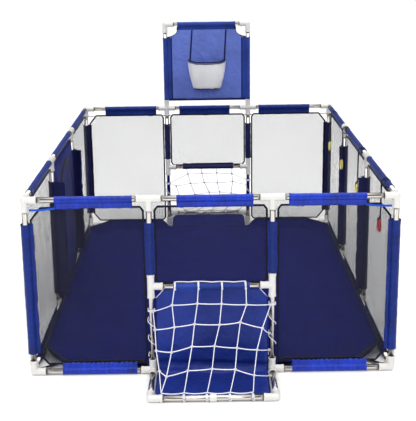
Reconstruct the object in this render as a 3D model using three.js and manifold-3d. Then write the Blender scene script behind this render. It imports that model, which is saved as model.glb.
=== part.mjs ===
// Knock-down play yard: a rectangle of steel tubes plugged into moulded
// connectors, with fabric walls, a floor mat, a netted goal at each end,
// a ball-hoop board over the far wall and pull rings along one side.
// Millimetres, +Z up. The origin is on the floor at the middle of the footprint.
// The closed goal is on the -Y side, the board on +Y and the rings on +X.
import * as THREE from 'three';
import { mergeVertices } from 'three/addons/utils/BufferGeometryUtils.js';
import Module from 'manifold-3d';

const wasm = await Module();
wasm.setup();

// ---- driving dimensions ----
const BAY_X = 420;            // post spacing across the short walls
const BAY_Y = 623;            // post spacing along the long walls
const HALF_X = 1.5 * BAY_X;   // axis of the long walls
const HALF_Y = 1.5 * BAY_Y;   // axis of the short walls
const TUBE_R = 10;
const TUBE_WALL = 1;
const SOCKET_R = 13.5;        // outside of a connector arm
const ARM = 42;               // connector centre to the mouth of an arm
const GAP = 0.3;              // room between pieces that touch
const CORE = 11.7;            // solid middle of a connector, where tubes stop
const SIDES = 12;             // sides of a round tube

const LOW_Z = SOCKET_R;       // axis of the base rails
const TOP_Z = LOW_Z + 625;    // axis of the top rails
const CROSS_Z = LOW_Z + 312;  // axis of the goal crossbars
const BOARD_Z = TOP_Z + 427;  // axis of the hoop board's top tube
const GOAL_X = BAY_X / 2;     // goal posts
const GOAL_REACH = 230;       // wall axis to the goal's floor bar
const CLIP_LENGTH = 22;
const PAST = 1;               // how far a cut runs past the face that it opens

const CLOTH = 1.5;            // thickness of a wall, mat or board cloth
const WALL_INSET = 14.2;      // wall axis to the outer face of a wall cloth
const WALL_LOW = 8;
const WALL_DROP = 20;         // top rail axis down to a wall cloth's top edge
const WALL_APART = 1.5;       // room between two walls at a corner
const NOTCH_EDGE = 15;        // goal post axis to the edge of the wall's goal opening
const NOTCH_DROP = 12;        // crossbar axis down to the top of that opening
const DOOR_HALF = 205;        // half the width of the zipped door
const DOOR_LOW = 62;
const DOOR_SPRING = 361;      // height where the door's arch begins
const DOOR_GAP = 1;
const ARCH_STEPS = 14;
const SLIDER_WIDTH = 11;
const SLIDER_HEIGHT = 16;
const SLIDER_THICK = 4;
const SLIDER_UP = 8;          // door's lower edge to the slider
const SLIDER_ROOM = 0.4;      // wall cloth to the slider
const TAB_WIDTH = 7;
const TAB_HALF = 14;          // half the height of the pull tab
const TAB_THICK = 2;
const MAT_EDGE = 16;          // wall axis to the mat's edge
const MAT_CUT_X = 100;        // how much of each mat corner is cut away
const MAT_CUT_Y = 135;
const CLOTH_EASE = 3;         // goal connectors to the goal cloth's side edges
const TONGUE_LIFT = 2;        // floor to the goal cloth
const TONGUE_SHORT = 2;       // goal cloth's end to the floor bar's clip
const ROPE = 4;
const NET_SQUARE = 70;
const NET_COLUMNS = 5;
const NET_FOOT_IN = 6;        // floor bar's axis to the net's last rope
const NET_END = 2;            // rope past its last crossing

const BOARD_LOW = 45;         // top rail axis up to the board cloth's lower edge
const BOARD_EASE = 1;         // board frame's tubes to the board cloth
const SCOOP_X = 147;          // half the width of the board left between its scooped corners
const SCOOP_UP = 360;         // top rail axis up to where a scoop begins
const SCOOP_RISE = 0.45;      // share of the scoop's height that is curved
const SCOOP_STEPS = 5;
const BASKET_TOP = 886;
const BASKET_LOW = 740;
const BASKET_TOP_HALF = 94;
const BASKET_LOW_HALF = 66;
const BASKET_REACH = 55;      // how far the rim stands out from the board
const BASKET_FOOT = 0.65;     // share of that reach left at the basket's foot
const BASKET_STEPS = 12;

const RING_PLACES = [-750, -209, 256, 678];   // along the +X top rail
const RING_R = 21;
const RING_THICK = 4;
const RING_DROP = 157;        // top rail axis to the ring's centre
const STRAP_WIDTH = 20;
const STRAP = 1.2;
const STRAP_LAP = 2;          // how far the strap's foot goes into the ring
const RING_BACK = 2.5;        // strap's face to the ring's middle
const LOOP_R = 18;            // outside of the strap's loop round the rail
const LOOP_SIDES = 12;
const LOOP_IN = LOOP_R - SOCKET_R;   // the slack loop hangs this far inward of the rail's axis

// ---- finishes ----
const finish = (color, roughness, metalness = 0) =>
  new THREE.MeshStandardMaterial({ color, roughness, metalness });
const chrome = finish(0xc9c9cc, 0.18, 1);
const white = finish(0xf2f1ee, 0.35);
const blue = finish(0x2436b4, 0.55);
const navy = finish(0x1e2055, 0.6);
const royal = finish(0x2c3f9c, 0.5);
const mesh = finish(0x8e93a6, 0.8);
const boardBlue = finish(0x5566b8, 0.55);
const ropeWhite = finish(0xe6e4f2, 0.8);
const black = finish(0x14141c, 0.5);
const yellow = finish(0xeadf9a, 0.5);
const red = finish(0xd8202e, 0.5);

// ---- solids ----
function solid(geometry, matrix) {
  const plain = geometry.clone();
  plain.deleteAttribute('normal');
  plain.deleteAttribute('uv');
  if (matrix) plain.applyMatrix4(matrix);
  const merged = mergeVertices(plain, 1e-4);
  return new wasm.Manifold(new wasm.Mesh({
    numProp: 3,
    vertProperties: new Float32Array(merged.attributes.position.array),
    triVerts: new Uint32Array(merged.index.array),
  }));
}

function geometryOf(manifold) {
  const result = manifold.getMesh();
  const geometry = new THREE.BufferGeometry();
  geometry.setAttribute('position', new THREE.BufferAttribute(result.vertProperties, 3));
  geometry.setIndex(new THREE.BufferAttribute(result.triVerts, 1));
  geometry.computeVertexNormals();
  return geometry;
}

const unite = (...pieces) => pieces.reduce((whole, piece) => whole.add(piece));
const vec = (x, y, z) => new THREE.Vector3(x, y, z);

// A matrix that lays a shape made along Y on the line from a to b, at its middle.
function along(a, b) {
  const direction = b.clone().sub(a).normalize();
  const turn = new THREE.Quaternion().setFromUnitVectors(vec(0, 1, 0), direction);
  const middle = a.clone().add(b).multiplyScalar(0.5);
  return new THREE.Matrix4().compose(middle, turn, vec(1, 1, 1));
}

function bar(a, b, radius, sides = SIDES) {
  return solid(new THREE.CylinderGeometry(radius, radius, a.distanceTo(b), sides), along(a, b));
}

function tube(a, b) {
  const half = a.distanceTo(b) / 2;
  const inner = TUBE_R - TUBE_WALL;
  const profile = [[inner, -half], [TUBE_R, -half], [TUBE_R, half], [inner, half], [inner, -half]]
    .map(([r, y]) => new THREE.Vector2(r, y));
  return solid(new THREE.LatheGeometry(profile, SIDES), along(a, b));
}

function box(low, high) {
  const size = high.clone().sub(low);
  const middle = low.clone().add(high).multiplyScalar(0.5);
  const place = new THREE.Matrix4().makeTranslation(middle.x, middle.y, middle.z);
  return solid(new THREE.BoxGeometry(size.x, size.y, size.z), place);
}

// A moulded connector: round arms with a blind socket in each, and where a tube
// runs straight through, one long bore instead.
function connector(centre, arms, through) {
  const reach = (direction, length) => centre.clone().addScaledVector(direction, length);
  let body = solid(new THREE.SphereGeometry(SOCKET_R, SIDES, SIDES / 2),
    new THREE.Matrix4().makeTranslation(centre.x, centre.y, centre.z));
  for (const arm of arms) body = body.add(bar(centre, reach(arm, ARM), SOCKET_R));
  for (const arm of arms) {
    body = body.subtract(bar(reach(arm, CORE), reach(arm, ARM + PAST), TUBE_R + GAP));
  }
  if (through) {
    body = body.subtract(bar(reach(through, -ARM - PAST), reach(through, ARM + PAST), TUBE_R + GAP));
  }
  return body;
}

const yard = new THREE.Group();
function add(name, manifold, material) {
  const piece = new THREE.Mesh(geometryOf(manifold), material);
  piece.name = name;
  yard.add(piece);
}

const X = vec(1, 0, 0);
const Y = vec(0, 1, 0);
const Z = vec(0, 0, 1);
const minus = (v) => v.clone().negate();
const END = CORE + GAP;       // connector centre to the end of a tube inside it
const word = { x: { '-1': 'left', 1: 'right' }, y: { '-1': 'front', 1: 'back' } };

const postTube = (x, y) => tube(vec(x, y, LOW_Z + END), vec(x, y, TOP_Z - END));

// ---- corner posts, with a three-way connector at each end ----
for (const sy of [-1, 1]) {
  for (const sx of [-1, 1]) {
    const corner = `${word.y[sy]}_${word.x[sx]}`;
    const low = vec(sx * HALF_X, sy * HALF_Y, LOW_Z);
    const top = vec(sx * HALF_X, sy * HALF_Y, TOP_Z);
    const inward = [vec(-sx, 0, 0), vec(0, -sy, 0)];
    add(`${corner}_base_corner`, connector(low, [...inward, Z]), white);
    add(`${corner}_top_corner`, connector(top, [...inward, minus(Z)]), white);
    add(`${corner}_corner_post`, postTube(low.x, low.y), chrome);
  }
}

// ---- goal posts, their foot connectors and the tees or crosses on top ----
for (const sy of [-1, 1]) {
  for (const sx of [-1, 1]) {
    const place = `${word.y[sy]}_${word.x[sx]}`;
    const low = vec(sx * GOAL_X, sy * HALF_Y, LOW_Z);
    const top = vec(sx * GOAL_X, sy * HALF_Y, TOP_Z);
    add(`${place}_goal_foot`, connector(low, [vec(sx, 0, 0), vec(0, sy, 0), Z]), white);
    const topArms = [X, minus(X), minus(Z)];
    if (sy > 0) topArms.push(Z);                     // carries the hoop board
    add(`${place}_top_${sy > 0 ? 'cross' : 'tee'}`, connector(top, topArms, X), white);
    add(`${place}_goal_post`, postTube(low.x, low.y), chrome);
  }
}

// ---- side posts ----
for (const sx of [-1, 1]) {
  for (const sy of [-1, 1]) {
    add(`${word.x[sx]}_${word.y[sy]}_side_post`, postTube(sx * HALF_X, sy * BAY_Y / 2), chrome);
  }
}

// ---- rails: the side rails carry their own tees ----
for (const sy of [-1, 1]) {
  const y = sy * HALF_Y;
  add(`${word.y[sy]}_top_rail`, tube(vec(-HALF_X + END, y, TOP_Z), vec(HALF_X - END, y, TOP_Z)), chrome);
  for (const sx of [-1, 1]) {
    add(`${word.y[sy]}_${word.x[sx]}_base_rail`,
      tube(vec(sx * (HALF_X - END), y, LOW_Z), vec(sx * (GOAL_X + END), y, LOW_Z)), chrome);
  }
}

function sideRail(x, z, postWay) {
  const a = vec(x, -HALF_Y + END, z);
  const b = vec(x, HALF_Y - END, z);
  let rail = bar(a, b, TUBE_R);
  for (const y of [-BAY_Y / 2, BAY_Y / 2]) {
    const centre = vec(x, y, z);
    rail = unite(rail,
      bar(vec(x, y - ARM, z), vec(x, y + ARM, z), SOCKET_R),
      bar(centre, centre.clone().addScaledVector(postWay, ARM), SOCKET_R));
    rail = rail.subtract(bar(centre.clone().addScaledVector(postWay, CORE),
      centre.clone().addScaledVector(postWay, ARM + PAST), TUBE_R + GAP));
  }
  return rail.subtract(bar(vec(x, -HALF_Y, z), vec(x, HALF_Y, z), TUBE_R - TUBE_WALL));
}
for (const sx of [-1, 1]) {
  add(`${word.x[sx]}_top_rail`, sideRail(sx * HALF_X, TOP_Z, minus(Z)), chrome);
  add(`${word.x[sx]}_base_rail`, sideRail(sx * HALF_X, LOW_Z, Z), chrome);
}

// ---- goals: crossbar with its tees, and the floor frame with its elbows ----
function crossbar(y) {
  let piece = bar(vec(-GOAL_X, y, CROSS_Z), vec(GOAL_X, y, CROSS_Z), TUBE_R);
  for (const sx of [-1, 1]) {
    const x = sx * GOAL_X;
    piece = unite(piece,
      bar(vec(x, y, CROSS_Z), vec(x - sx * ARM, y, CROSS_Z), SOCKET_R),
      bar(vec(x, y, CROSS_Z - ARM), vec(x, y, CROSS_Z + ARM), SOCKET_R));
  }
  piece = piece.subtract(bar(vec(-GOAL_X, y, CROSS_Z), vec(GOAL_X, y, CROSS_Z), TUBE_R - TUBE_WALL));
  for (const x of [-GOAL_X, GOAL_X]) {
    piece = piece.subtract(
      bar(vec(x, y, CROSS_Z - ARM - PAST), vec(x, y, CROSS_Z + ARM + PAST), TUBE_R + GAP));
  }
  return piece;
}

// Straight legs joined by a bar through round elbows, hollow all the way.
function bentFrame(points) {
  let outside;
  let inside;
  for (let i = 0; i + 1 < points.length; i += 1) {
    const leg = bar(points[i], points[i + 1], TUBE_R);
    const way = points[i + 1].clone().sub(points[i]).normalize();
    const from = points[i].clone().addScaledVector(way, i === 0 ? -PAST : 0);
    const to = points[i + 1].clone().addScaledVector(way, i + 2 === points.length ? PAST : 0);
    const core = bar(from, to, TUBE_R - TUBE_WALL);
    outside = outside ? outside.add(leg) : leg;
    inside = inside ? inside.add(core) : core;
  }
  for (const i of [1, 2]) {
    const place = new THREE.Matrix4().makeTranslation(points[i].x, points[i].y, points[i].z);
    outside = outside.add(solid(new THREE.SphereGeometry(SOCKET_R, SIDES, SIDES / 2), place));
    for (const next of [points[i - 1], points[i + 1]]) {
      const way = next.clone().sub(points[i]).normalize();
      outside = outside.add(bar(points[i], points[i].clone().addScaledVector(way, ARM), SOCKET_R));
    }
  }
  return outside.subtract(inside);
}

for (const sy of [-1, 1]) {
  const end = word.y[sy];
  const y = sy * HALF_Y;
  add(`${end}_goal_crossbar`, crossbar(y), chrome);
  const near = sy * (HALF_Y + END);
  const far = sy * (HALF_Y + GOAL_REACH);
  const clip = bar(vec(-CLIP_LENGTH / 2, far, LOW_Z), vec(CLIP_LENGTH / 2, far, LOW_Z), SOCKET_R)
    .subtract(bar(vec(-CLIP_LENGTH, far, LOW_Z), vec(CLIP_LENGTH, far, LOW_Z), TUBE_R - TUBE_WALL));
  add(`${end}_goal_floor_frame`, bentFrame([vec(-GOAL_X, near, LOW_Z), vec(-GOAL_X, far, LOW_Z),
    vec(GOAL_X, far, LOW_Z), vec(GOAL_X, near, LOW_Z)]).add(clip), chrome);
}

// ---- hoop board frame ----
add('board_frame', bentFrame([vec(-GOAL_X, HALF_Y, TOP_Z + END), vec(-GOAL_X, HALF_Y, BOARD_Z),
  vec(GOAL_X, HALF_Y, BOARD_Z), vec(GOAL_X, HALF_Y, TOP_Z + END)]), chrome);

// ---- cloth ----
// An outline in a wall's own plane, given as across and up, made a thin sheet.
function sheet(outline, holes, thickness) {
  const shape = new THREE.Shape(outline.map(([u, v]) => new THREE.Vector2(u, v)));
  for (const hole of holes) shape.holes.push(new THREE.Path(hole.map(([u, v]) => new THREE.Vector2(u, v))));
  return new THREE.ExtrudeGeometry(shape, { depth: thickness, bevelEnabled: false });
}
// Stands a sheet up with its face at y and its thickness towards +Y.
const facingY = (y) => new THREE.Matrix4().makeBasis(X, Z, minus(Y)).setPosition(0, y + CLOTH, 0);
// Stands a sheet up with its face at x and its thickness towards +X.
const facingX = (x) => new THREE.Matrix4().makeBasis(Y, Z, X).setPosition(x, 0, 0);

const wallTop = TOP_Z - WALL_DROP;
const shortHalf = HALF_X - WALL_INSET - CLOTH - WALL_APART;
const longHalf = HALF_Y - WALL_INSET - CLOTH - WALL_APART;
const notch = GOAL_X - NOTCH_EDGE;
const notchTop = CROSS_Z - NOTCH_DROP;
const goalWall = [[-shortHalf, WALL_LOW], [-notch, WALL_LOW], [-notch, notchTop], [notch, notchTop],
  [notch, WALL_LOW], [shortHalf, WALL_LOW], [shortHalf, wallTop], [-shortHalf, wallTop]];
add('front_wall_fabric', solid(sheet(goalWall, [], CLOTH), facingY(-HALF_Y + WALL_INSET)), mesh);
add('back_wall_fabric', solid(sheet(goalWall, [], CLOTH), facingY(HALF_Y - WALL_INSET - CLOTH)), mesh);

function doorOutline(grow) {
  const half = DOOR_HALF + grow;
  const points = [[-half, DOOR_LOW - grow], [half, DOOR_LOW - grow]];
  for (let i = 0; i <= ARCH_STEPS; i += 1) {
    const angle = Math.PI * i / ARCH_STEPS;
    points.push([half * Math.cos(angle), DOOR_SPRING + half * Math.sin(angle)]);
  }
  return points;
}
const sideWall = [[-longHalf, WALL_LOW], [longHalf, WALL_LOW], [longHalf, wallTop], [-longHalf, wallTop]];
const leftFace = -HALF_X + WALL_INSET;
add('left_wall_fabric', solid(sheet(sideWall, [doorOutline(DOOR_GAP)], CLOTH), facingX(leftFace)), blue);
add('right_wall_fabric', solid(sheet(sideWall, [], CLOTH), facingX(HALF_X - WALL_INSET - CLOTH)), mesh);
add('door_flap', solid(sheet(doorOutline(0), [], CLOTH), facingX(leftFace)), blue);

// ---- zip slider with its pull tab, outside the door at the foot of one zip leg ----
const sliderFace = leftFace - SLIDER_ROOM;
const sliderLow = DOOR_LOW + SLIDER_UP;
const tabFace = sliderFace - SLIDER_THICK + TAB_THICK / 4;
add('zip_slider', unite(
  box(vec(sliderFace - SLIDER_THICK, DOOR_HALF - SLIDER_WIDTH / 2, sliderLow),
    vec(sliderFace, DOOR_HALF + SLIDER_WIDTH / 2, sliderLow + SLIDER_HEIGHT)),
  box(vec(tabFace - TAB_THICK, DOOR_HALF - TAB_WIDTH / 2, DOOR_LOW - TAB_HALF),
    vec(tabFace, DOOR_HALF + TAB_WIDTH / 2, DOOR_LOW + TAB_HALF)),
), black);

// ---- floor mat, with its corners cut off ----
const matX = HALF_X - MAT_EDGE;
const matY = HALF_Y - MAT_EDGE;
const mat = [
  [-matX + MAT_CUT_X, -matY], [matX - MAT_CUT_X, -matY], [matX, -matY + MAT_CUT_Y], [matX, matY - MAT_CUT_Y],
  [matX - MAT_CUT_X, matY], [-matX + MAT_CUT_X, matY], [-matX, matY - MAT_CUT_Y], [-matX, -matY + MAT_CUT_Y],
];
add('floor_mat', solid(sheet(mat, [], 2 * CLOTH)), navy);

// ---- goal cloths ----
const clothHalf = GOAL_X - SOCKET_R - CLOTH_EASE;
const tongueEnd = HALF_Y + GOAL_REACH - SOCKET_R - TONGUE_SHORT;
const tongueTop = TONGUE_LIFT + CLOTH;
const hangTop = CROSS_Z - SOCKET_R - PAST;
add('front_goal_cloth', unite(
  box(vec(-clothHalf, -HALF_Y - CLOTH / 2, TONGUE_LIFT), vec(clothHalf, -HALF_Y + CLOTH / 2, hangTop)),
  box(vec(-clothHalf, -tongueEnd, TONGUE_LIFT), vec(clothHalf, -HALF_Y + CLOTH / 2, tongueTop)),
), royal);
const matEnd = HALF_Y - MAT_EDGE + PAST;
add('back_goal_cloth',
  box(vec(-clothHalf, matEnd, TONGUE_LIFT), vec(clothHalf, tongueEnd, tongueTop)), royal);

// ---- goal nets: a knotted rope grid from the crossbar down to the floor bar ----
function net(sy) {
  const head = vec(0, sy * (HALF_Y + SOCKET_R + ROPE), CROSS_Z + TUBE_R);
  const foot = vec(0, sy * (HALF_Y + GOAL_REACH - NET_FOOT_IN), LOW_Z + SOCKET_R + ROPE);
  const slope = foot.clone().sub(head);
  const rows = Math.round(slope.length() / NET_SQUARE);
  const half = NET_COLUMNS * NET_SQUARE / 2;
  let grid;
  const rope = (a, b) => {
    const piece = bar(a, b, ROPE / 2, 4);
    grid = grid ? grid.add(piece) : piece;
  };
  for (let row = 0; row <= rows; row += 1) {
    const level = head.clone().addScaledVector(slope, row / rows);
    rope(vec(-half - NET_END, level.y, level.z), vec(half + NET_END, level.y, level.z));
  }
  for (let column = 0; column <= NET_COLUMNS; column += 1) {
    const x = -half + column * NET_SQUARE;
    const past = slope.clone().normalize().multiplyScalar(NET_END);
    rope(vec(x, head.y, head.z).sub(past), vec(x, foot.y, foot.z).add(past));
  }
  return grid;
}
add('front_goal_net', net(-1), ropeWhite);
add('back_goal_net', net(1), ropeWhite);

// ---- hoop board cloth, scooped at its upper corners, and the mesh basket ----
const boardLow = TOP_Z + BOARD_LOW;
const boardHalf = GOAL_X + TUBE_R + BOARD_EASE;
const boardTop = BOARD_Z + TUBE_R + BOARD_EASE;
const scoopZ = TOP_Z + SCOOP_UP;
function scoop(side) {
  const points = [];
  for (let i = 0; i <= SCOOP_STEPS; i += 1) {
    const angle = Math.PI / 2 * i / SCOOP_STEPS;
    const across = boardHalf - (boardHalf - SCOOP_X) * Math.sin(angle);
    const up = scoopZ + (boardTop - scoopZ) * SCOOP_RISE * (1 - Math.cos(angle));
    points.push([side * across, up]);
  }
  points.push([side * SCOOP_X, boardTop]);
  return side > 0 ? points : points.reverse();
}
const board = [[-boardHalf, boardLow], [boardHalf, boardLow], ...scoop(1), ...scoop(-1)];
const boardFace = HALF_Y - TUBE_R - BOARD_EASE - CLOTH;
add('board_cloth', solid(sheet(board, [], CLOTH), facingY(boardFace)), boardBlue);

// A half-round cup: a half-oval outline stretched up and drawn in towards its foot.
function cup(inset, low, high) {
  const outline = [];
  for (let i = 0; i <= BASKET_STEPS; i += 1) {
    const angle = Math.PI * i / BASKET_STEPS;
    outline.push([Math.cos(angle), -Math.sin(angle)]);
  }
  const shape = new THREE.Shape(outline.map(([u, v]) => new THREE.Vector2(u, v)));
  const geometry = new THREE.ExtrudeGeometry(shape, { depth: 1, bevelEnabled: false });
  const position = geometry.attributes.position;
  for (let i = 0; i < position.count; i += 1) {
    const height = position.getZ(i) > 0.5 ? high : low;
    const up = (height - BASKET_LOW) / (BASKET_TOP - BASKET_LOW);
    const half = BASKET_LOW_HALF + (BASKET_TOP_HALF - BASKET_LOW_HALF) * up - inset;
    const reach = BASKET_REACH * (BASKET_FOOT + (1 - BASKET_FOOT) * up) - inset;
    position.setXYZ(i, position.getX(i) * half, boardFace - GAP - inset + position.getY(i) * reach, height);
  }
  return solid(geometry);
}
const basketRoom = cup(CLOTH, BASKET_LOW + CLOTH, BASKET_TOP + PAST);
add('hoop_basket', cup(0, BASKET_LOW, BASKET_TOP).subtract(basketRoom), ropeWhite);

// ---- pull rings: a strap looped round the rail, with a ring hung on it ----
function pullRing(y) {
  const loopProfile = [[LOOP_R - STRAP, -STRAP_WIDTH / 2], [LOOP_R, -STRAP_WIDTH / 2],
    [LOOP_R, STRAP_WIDTH / 2], [LOOP_R - STRAP, STRAP_WIDTH / 2], [LOOP_R - STRAP, -STRAP_WIDTH / 2]]
    .map(([r, h]) => new THREE.Vector2(r, h));
  const loop = solid(new THREE.LatheGeometry(loopProfile, LOOP_SIDES),
    new THREE.Matrix4().makeTranslation(HALF_X - LOOP_IN, y, TOP_Z));
  const face = HALF_X - LOOP_IN - LOOP_R;
  const ringZ = TOP_Z - RING_DROP;
  const strap = box(vec(face, y - STRAP_WIDTH / 2, ringZ + RING_R - STRAP_LAP),
    vec(face + STRAP, y + STRAP_WIDTH / 2, TOP_Z));
  const stand = new THREE.Matrix4().makeRotationY(Math.PI / 2).setPosition(face - RING_BACK, y, ringZ);
  return unite(loop, strap, solid(new THREE.TorusGeometry(RING_R, RING_THICK, 6, 16), stand));
}
RING_PLACES.forEach((y, i) => add(`pull_ring_${i + 1}`, pullRing(y), i === 0 ? red : yellow));

export default yard;
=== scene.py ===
# %% [markdown]
# # A tube-and-connector play yard
# The real thing is a kit: steel tubes push into white moulded connectors, and sewn
# fabric walls, a floor mat, two goal nets and a hoop board hang on the tubes.
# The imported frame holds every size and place, so this lesson only dresses it:
# each tube, fitting and cloth below is drawn round the frame's own boxes.

# %% Load the frame
import math

import bmesh
import bpy
import numpy as np
from mathutils import Matrix, Vector, noise


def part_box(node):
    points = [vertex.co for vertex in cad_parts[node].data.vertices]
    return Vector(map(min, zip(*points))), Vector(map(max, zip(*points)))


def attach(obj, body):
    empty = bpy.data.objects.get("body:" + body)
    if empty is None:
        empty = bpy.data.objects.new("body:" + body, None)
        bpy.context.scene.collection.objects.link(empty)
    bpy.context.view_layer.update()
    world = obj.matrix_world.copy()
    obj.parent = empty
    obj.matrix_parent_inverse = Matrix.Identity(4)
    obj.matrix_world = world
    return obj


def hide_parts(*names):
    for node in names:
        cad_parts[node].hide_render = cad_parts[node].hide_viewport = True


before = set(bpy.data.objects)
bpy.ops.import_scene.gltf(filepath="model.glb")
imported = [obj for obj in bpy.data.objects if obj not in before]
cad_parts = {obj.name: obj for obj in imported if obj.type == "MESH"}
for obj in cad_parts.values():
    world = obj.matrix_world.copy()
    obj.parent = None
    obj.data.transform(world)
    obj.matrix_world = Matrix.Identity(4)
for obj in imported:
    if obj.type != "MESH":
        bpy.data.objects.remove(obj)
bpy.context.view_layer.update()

# %% [markdown]
# A few driving places come from the nodes' boxes: the axes of posts and rails.
# Everything else is a small offset from them, in metres.

# %% Driving places
def box(node):
    return np.array([tuple(corner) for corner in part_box(node)])


def middle(node):
    return box(node).mean(axis=0)


WALL_X, WALL_Y = -middle("front_left_corner_post")[:2]
TOP_Z = middle("front_top_rail")[2]
BASE_Z = middle("front_left_base_rail")[2]
CROSS_Z = middle("front_goal_crossbar")[2]
GOAL_X = -middle("front_left_goal_post")[0]
SIDE_Y = middle("left_back_side_post")[1]
SOCKET_R = BASE_Z
TUBE_R = (box("front_left_corner_post")[1] - box("front_left_corner_post")[0])[0] / 2
GOAL_Y = -box("front_goal_floor_frame")[0][1] - SOCKET_R
BOARD_Z = box("board_frame")[1][2] - SOCKET_R
ARM = box("front_goal_crossbar")[1][2] - CROSS_Z
print("walls", WALL_X, WALL_Y, "rails", BASE_Z, CROSS_Z, TOP_Z, "board", BOARD_Z)

# %% [markdown]
# ## Mesh helpers
# Most pieces are skins: rows of points joined by quads, with a UV map in metres so
# that weaves and stitches keep their real size. One function makes them all.

# %% Mesh helpers
def mesh_piece(name, points, faces, uv=None, smooth=True):
    data = bpy.data.meshes.new(name)
    data.from_pydata([tuple(p) for p in points], [], [tuple(f) for f in faces])
    if uv is not None:
        layer = data.uv_layers.new(name="UVMap")
        corners = np.zeros(len(data.loops), np.int32)
        data.loops.foreach_get("vertex_index", corners)
        layer.data.foreach_set("uv", np.asarray(uv, np.float32)[corners].ravel())
    data.polygons.foreach_set("use_smooth", [smooth] * len(data.polygons))
    return placed(name, data)


def grid_faces(rows, columns, wrap=False, start=0):
    faces = []
    across = columns if wrap else columns - 1
    for r in range(rows - 1):
        for c in range(across):
            d = (c + 1) % columns
            a, b = start + r * columns, start + (r + 1) * columns
            faces.append((a + c, a + d, b + d, b + c))
    return faces


def skin(name, rows, wrap=False, caps=False):
    """rows is an array of rows of points; wrap joins each row's end to its start."""
    rows = np.asarray(rows, float)
    n, m = rows.shape[:2]
    along = np.concatenate([[0], np.cumsum(np.linalg.norm(np.diff(rows.mean(axis=1), axis=0), axis=1))])
    step = np.linalg.norm(np.diff(rows, axis=1), axis=2).mean(axis=0)
    around = np.concatenate([[0], np.cumsum(step)])
    uv = np.stack(np.meshgrid(around, along), axis=-1).reshape(-1, 2)
    faces = grid_faces(n, m, wrap)
    if caps:
        faces += [tuple(range(m))[::-1], tuple((n - 1) * m + i for i in range(m))]
    return mesh_piece(name, rows.reshape(-1, 3), faces, uv)


def cloth_of(name, rows, uv, wrap=False):
    """A cloth from rows of points, with a UV for every point in the same order."""
    rows = np.array(rows)
    return mesh_piece(name, rows.reshape(-1, 3), grid_faces(*rows.shape[:2], wrap=wrap), uv)


def placed(name, data):
    """Puts a mesh, lamp or camera into the scene as an object."""
    made = bpy.data.objects.new(name, data)
    bpy.context.scene.collection.objects.link(made)
    return made


def join(name, pieces):
    """Joins plain pieces into one, by hand, so that it works without a window."""
    points, faces, uv, slots, looks = [], [], [], [], []
    for piece in pieces:
        data = piece.data
        start = len(points)
        points += [tuple(v.co) for v in data.vertices]
        layer = data.uv_layers.active
        own = [(0.0, 0.0)] * len(data.vertices)
        for polygon in data.polygons:
            faces.append(tuple(start + v for v in polygon.vertices))
            look = data.materials[polygon.material_index] if len(data.materials) else None
            if look not in looks:
                looks.append(look)
            slots.append(looks.index(look))
            if layer:
                for loop, vertex in zip(polygon.loop_indices, polygon.vertices):
                    own[vertex] = tuple(layer.data[loop].uv)
        uv += own
        bpy.data.objects.remove(piece)
        bpy.data.meshes.remove(data)
    whole = mesh_piece(name, points, faces, uv)
    for look in looks:
        if look is not None:
            whole.data.materials.append(look)
    whole.data.polygons.foreach_set("material_index", slots)
    return whole


def outward(piece):
    """Turns every face of a closed shell outwards."""
    tool = bmesh.new()
    tool.from_mesh(piece.data)
    bmesh.ops.remove_doubles(tool, verts=tool.verts, dist=1e-6)
    bmesh.ops.recalc_face_normals(tool, faces=tool.faces)
    tool.to_mesh(piece.data)
    tool.free()
    return piece


def sweep(name, path, section, up=(0, 0, 1), closed=False):
    """Carries a closed cross-section, given as (sideways, up) points, along a path."""
    path = [Vector(p) for p in path]
    up = Vector(up)
    rows = []
    count = len(path)
    for i, place in enumerate(path):
        before = path[(i - 1) % count] if closed or i else place
        after = path[(i + 1) % count] if closed or i + 1 < count else place
        way = (after - before).normalized()
        side = way.cross(up).normalized()
        lift = side.cross(way)
        rows.append([place + side * s + lift * t for s, t in section])
    if closed:
        rows.append(rows[0])
    piece = skin(name, rows, wrap=True, caps=not closed)
    return outward(piece)


def round_section(radius, sides):
    turns = [2 * math.pi * k / sides for k in range(sides)]
    return [(radius * math.cos(a), radius * math.sin(a)) for a in turns]


def flat_section(width, thick):
    """A tape's cross-section with rounded edges."""
    w, t = width / 2, thick / 2
    return [(w, 0), (w - t * 0.6, t * 0.8), (w * 0.5, t), (-w * 0.5, t), (-w + t * 0.6, t * 0.8),
            (-w, 0), (-w + t * 0.6, -t * 0.8), (-w * 0.5, -t), (w * 0.5, -t), (w - t * 0.6, -t * 0.8)]


def smooth_path(points, steps=6, closed=False):
    """A Catmull-Rom curve through given points."""
    pts = [Vector(p) for p in points]
    count = len(pts)
    out = []
    for i in range(count if closed else count - 1):
        a = pts[(i - 1) % count] if closed or i else pts[0] * 2 - pts[1]
        b, c = pts[i], pts[(i + 1) % count]
        d = pts[(i + 2) % count] if closed or i + 2 < count else c * 2 - b
        for k in range(steps):
            t = k / steps
            out.append(0.5 * ((2 * b) + (c - a) * t + (2 * a - 5 * b + 4 * c - d) * t * t
                              + (3 * b - a - 3 * c + d) * t * t * t))
    return out if closed else out + [pts[-1]]


def ripple(x, y, seed):
    return noise.noise(Vector((x, y, seed * 7.31)))


print("mesh helpers ready")

# %% [markdown]
# ## Finishes
# Each finish is a small node tree. Cloth reads its UV map, where one unit is one
# metre, so that threads are the same size on every piece. Moulded plastic and steel
# read object coordinates. Every constant sits on the shader's own socket.

# %% Node helpers
def new_finish(name, **sockets):
    look = bpy.data.materials.new(name)
    look.use_nodes = True
    shader = look.node_tree.nodes["Principled BSDF"]
    for key, value in sockets.items():
        shader.inputs[key.replace("_", " ")].default_value = value
    return look, look.node_tree, shader


def node(tree, kind, label=None, **values):
    made = tree.nodes.new(kind)
    if label:
        made.label = label
    for key, value in values.items():
        setattr(made, key, value)
    return made


def tint(colour, factor):
    return tuple(min(1.0, c * factor) for c in colour[:3]) + (1.0,)


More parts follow.
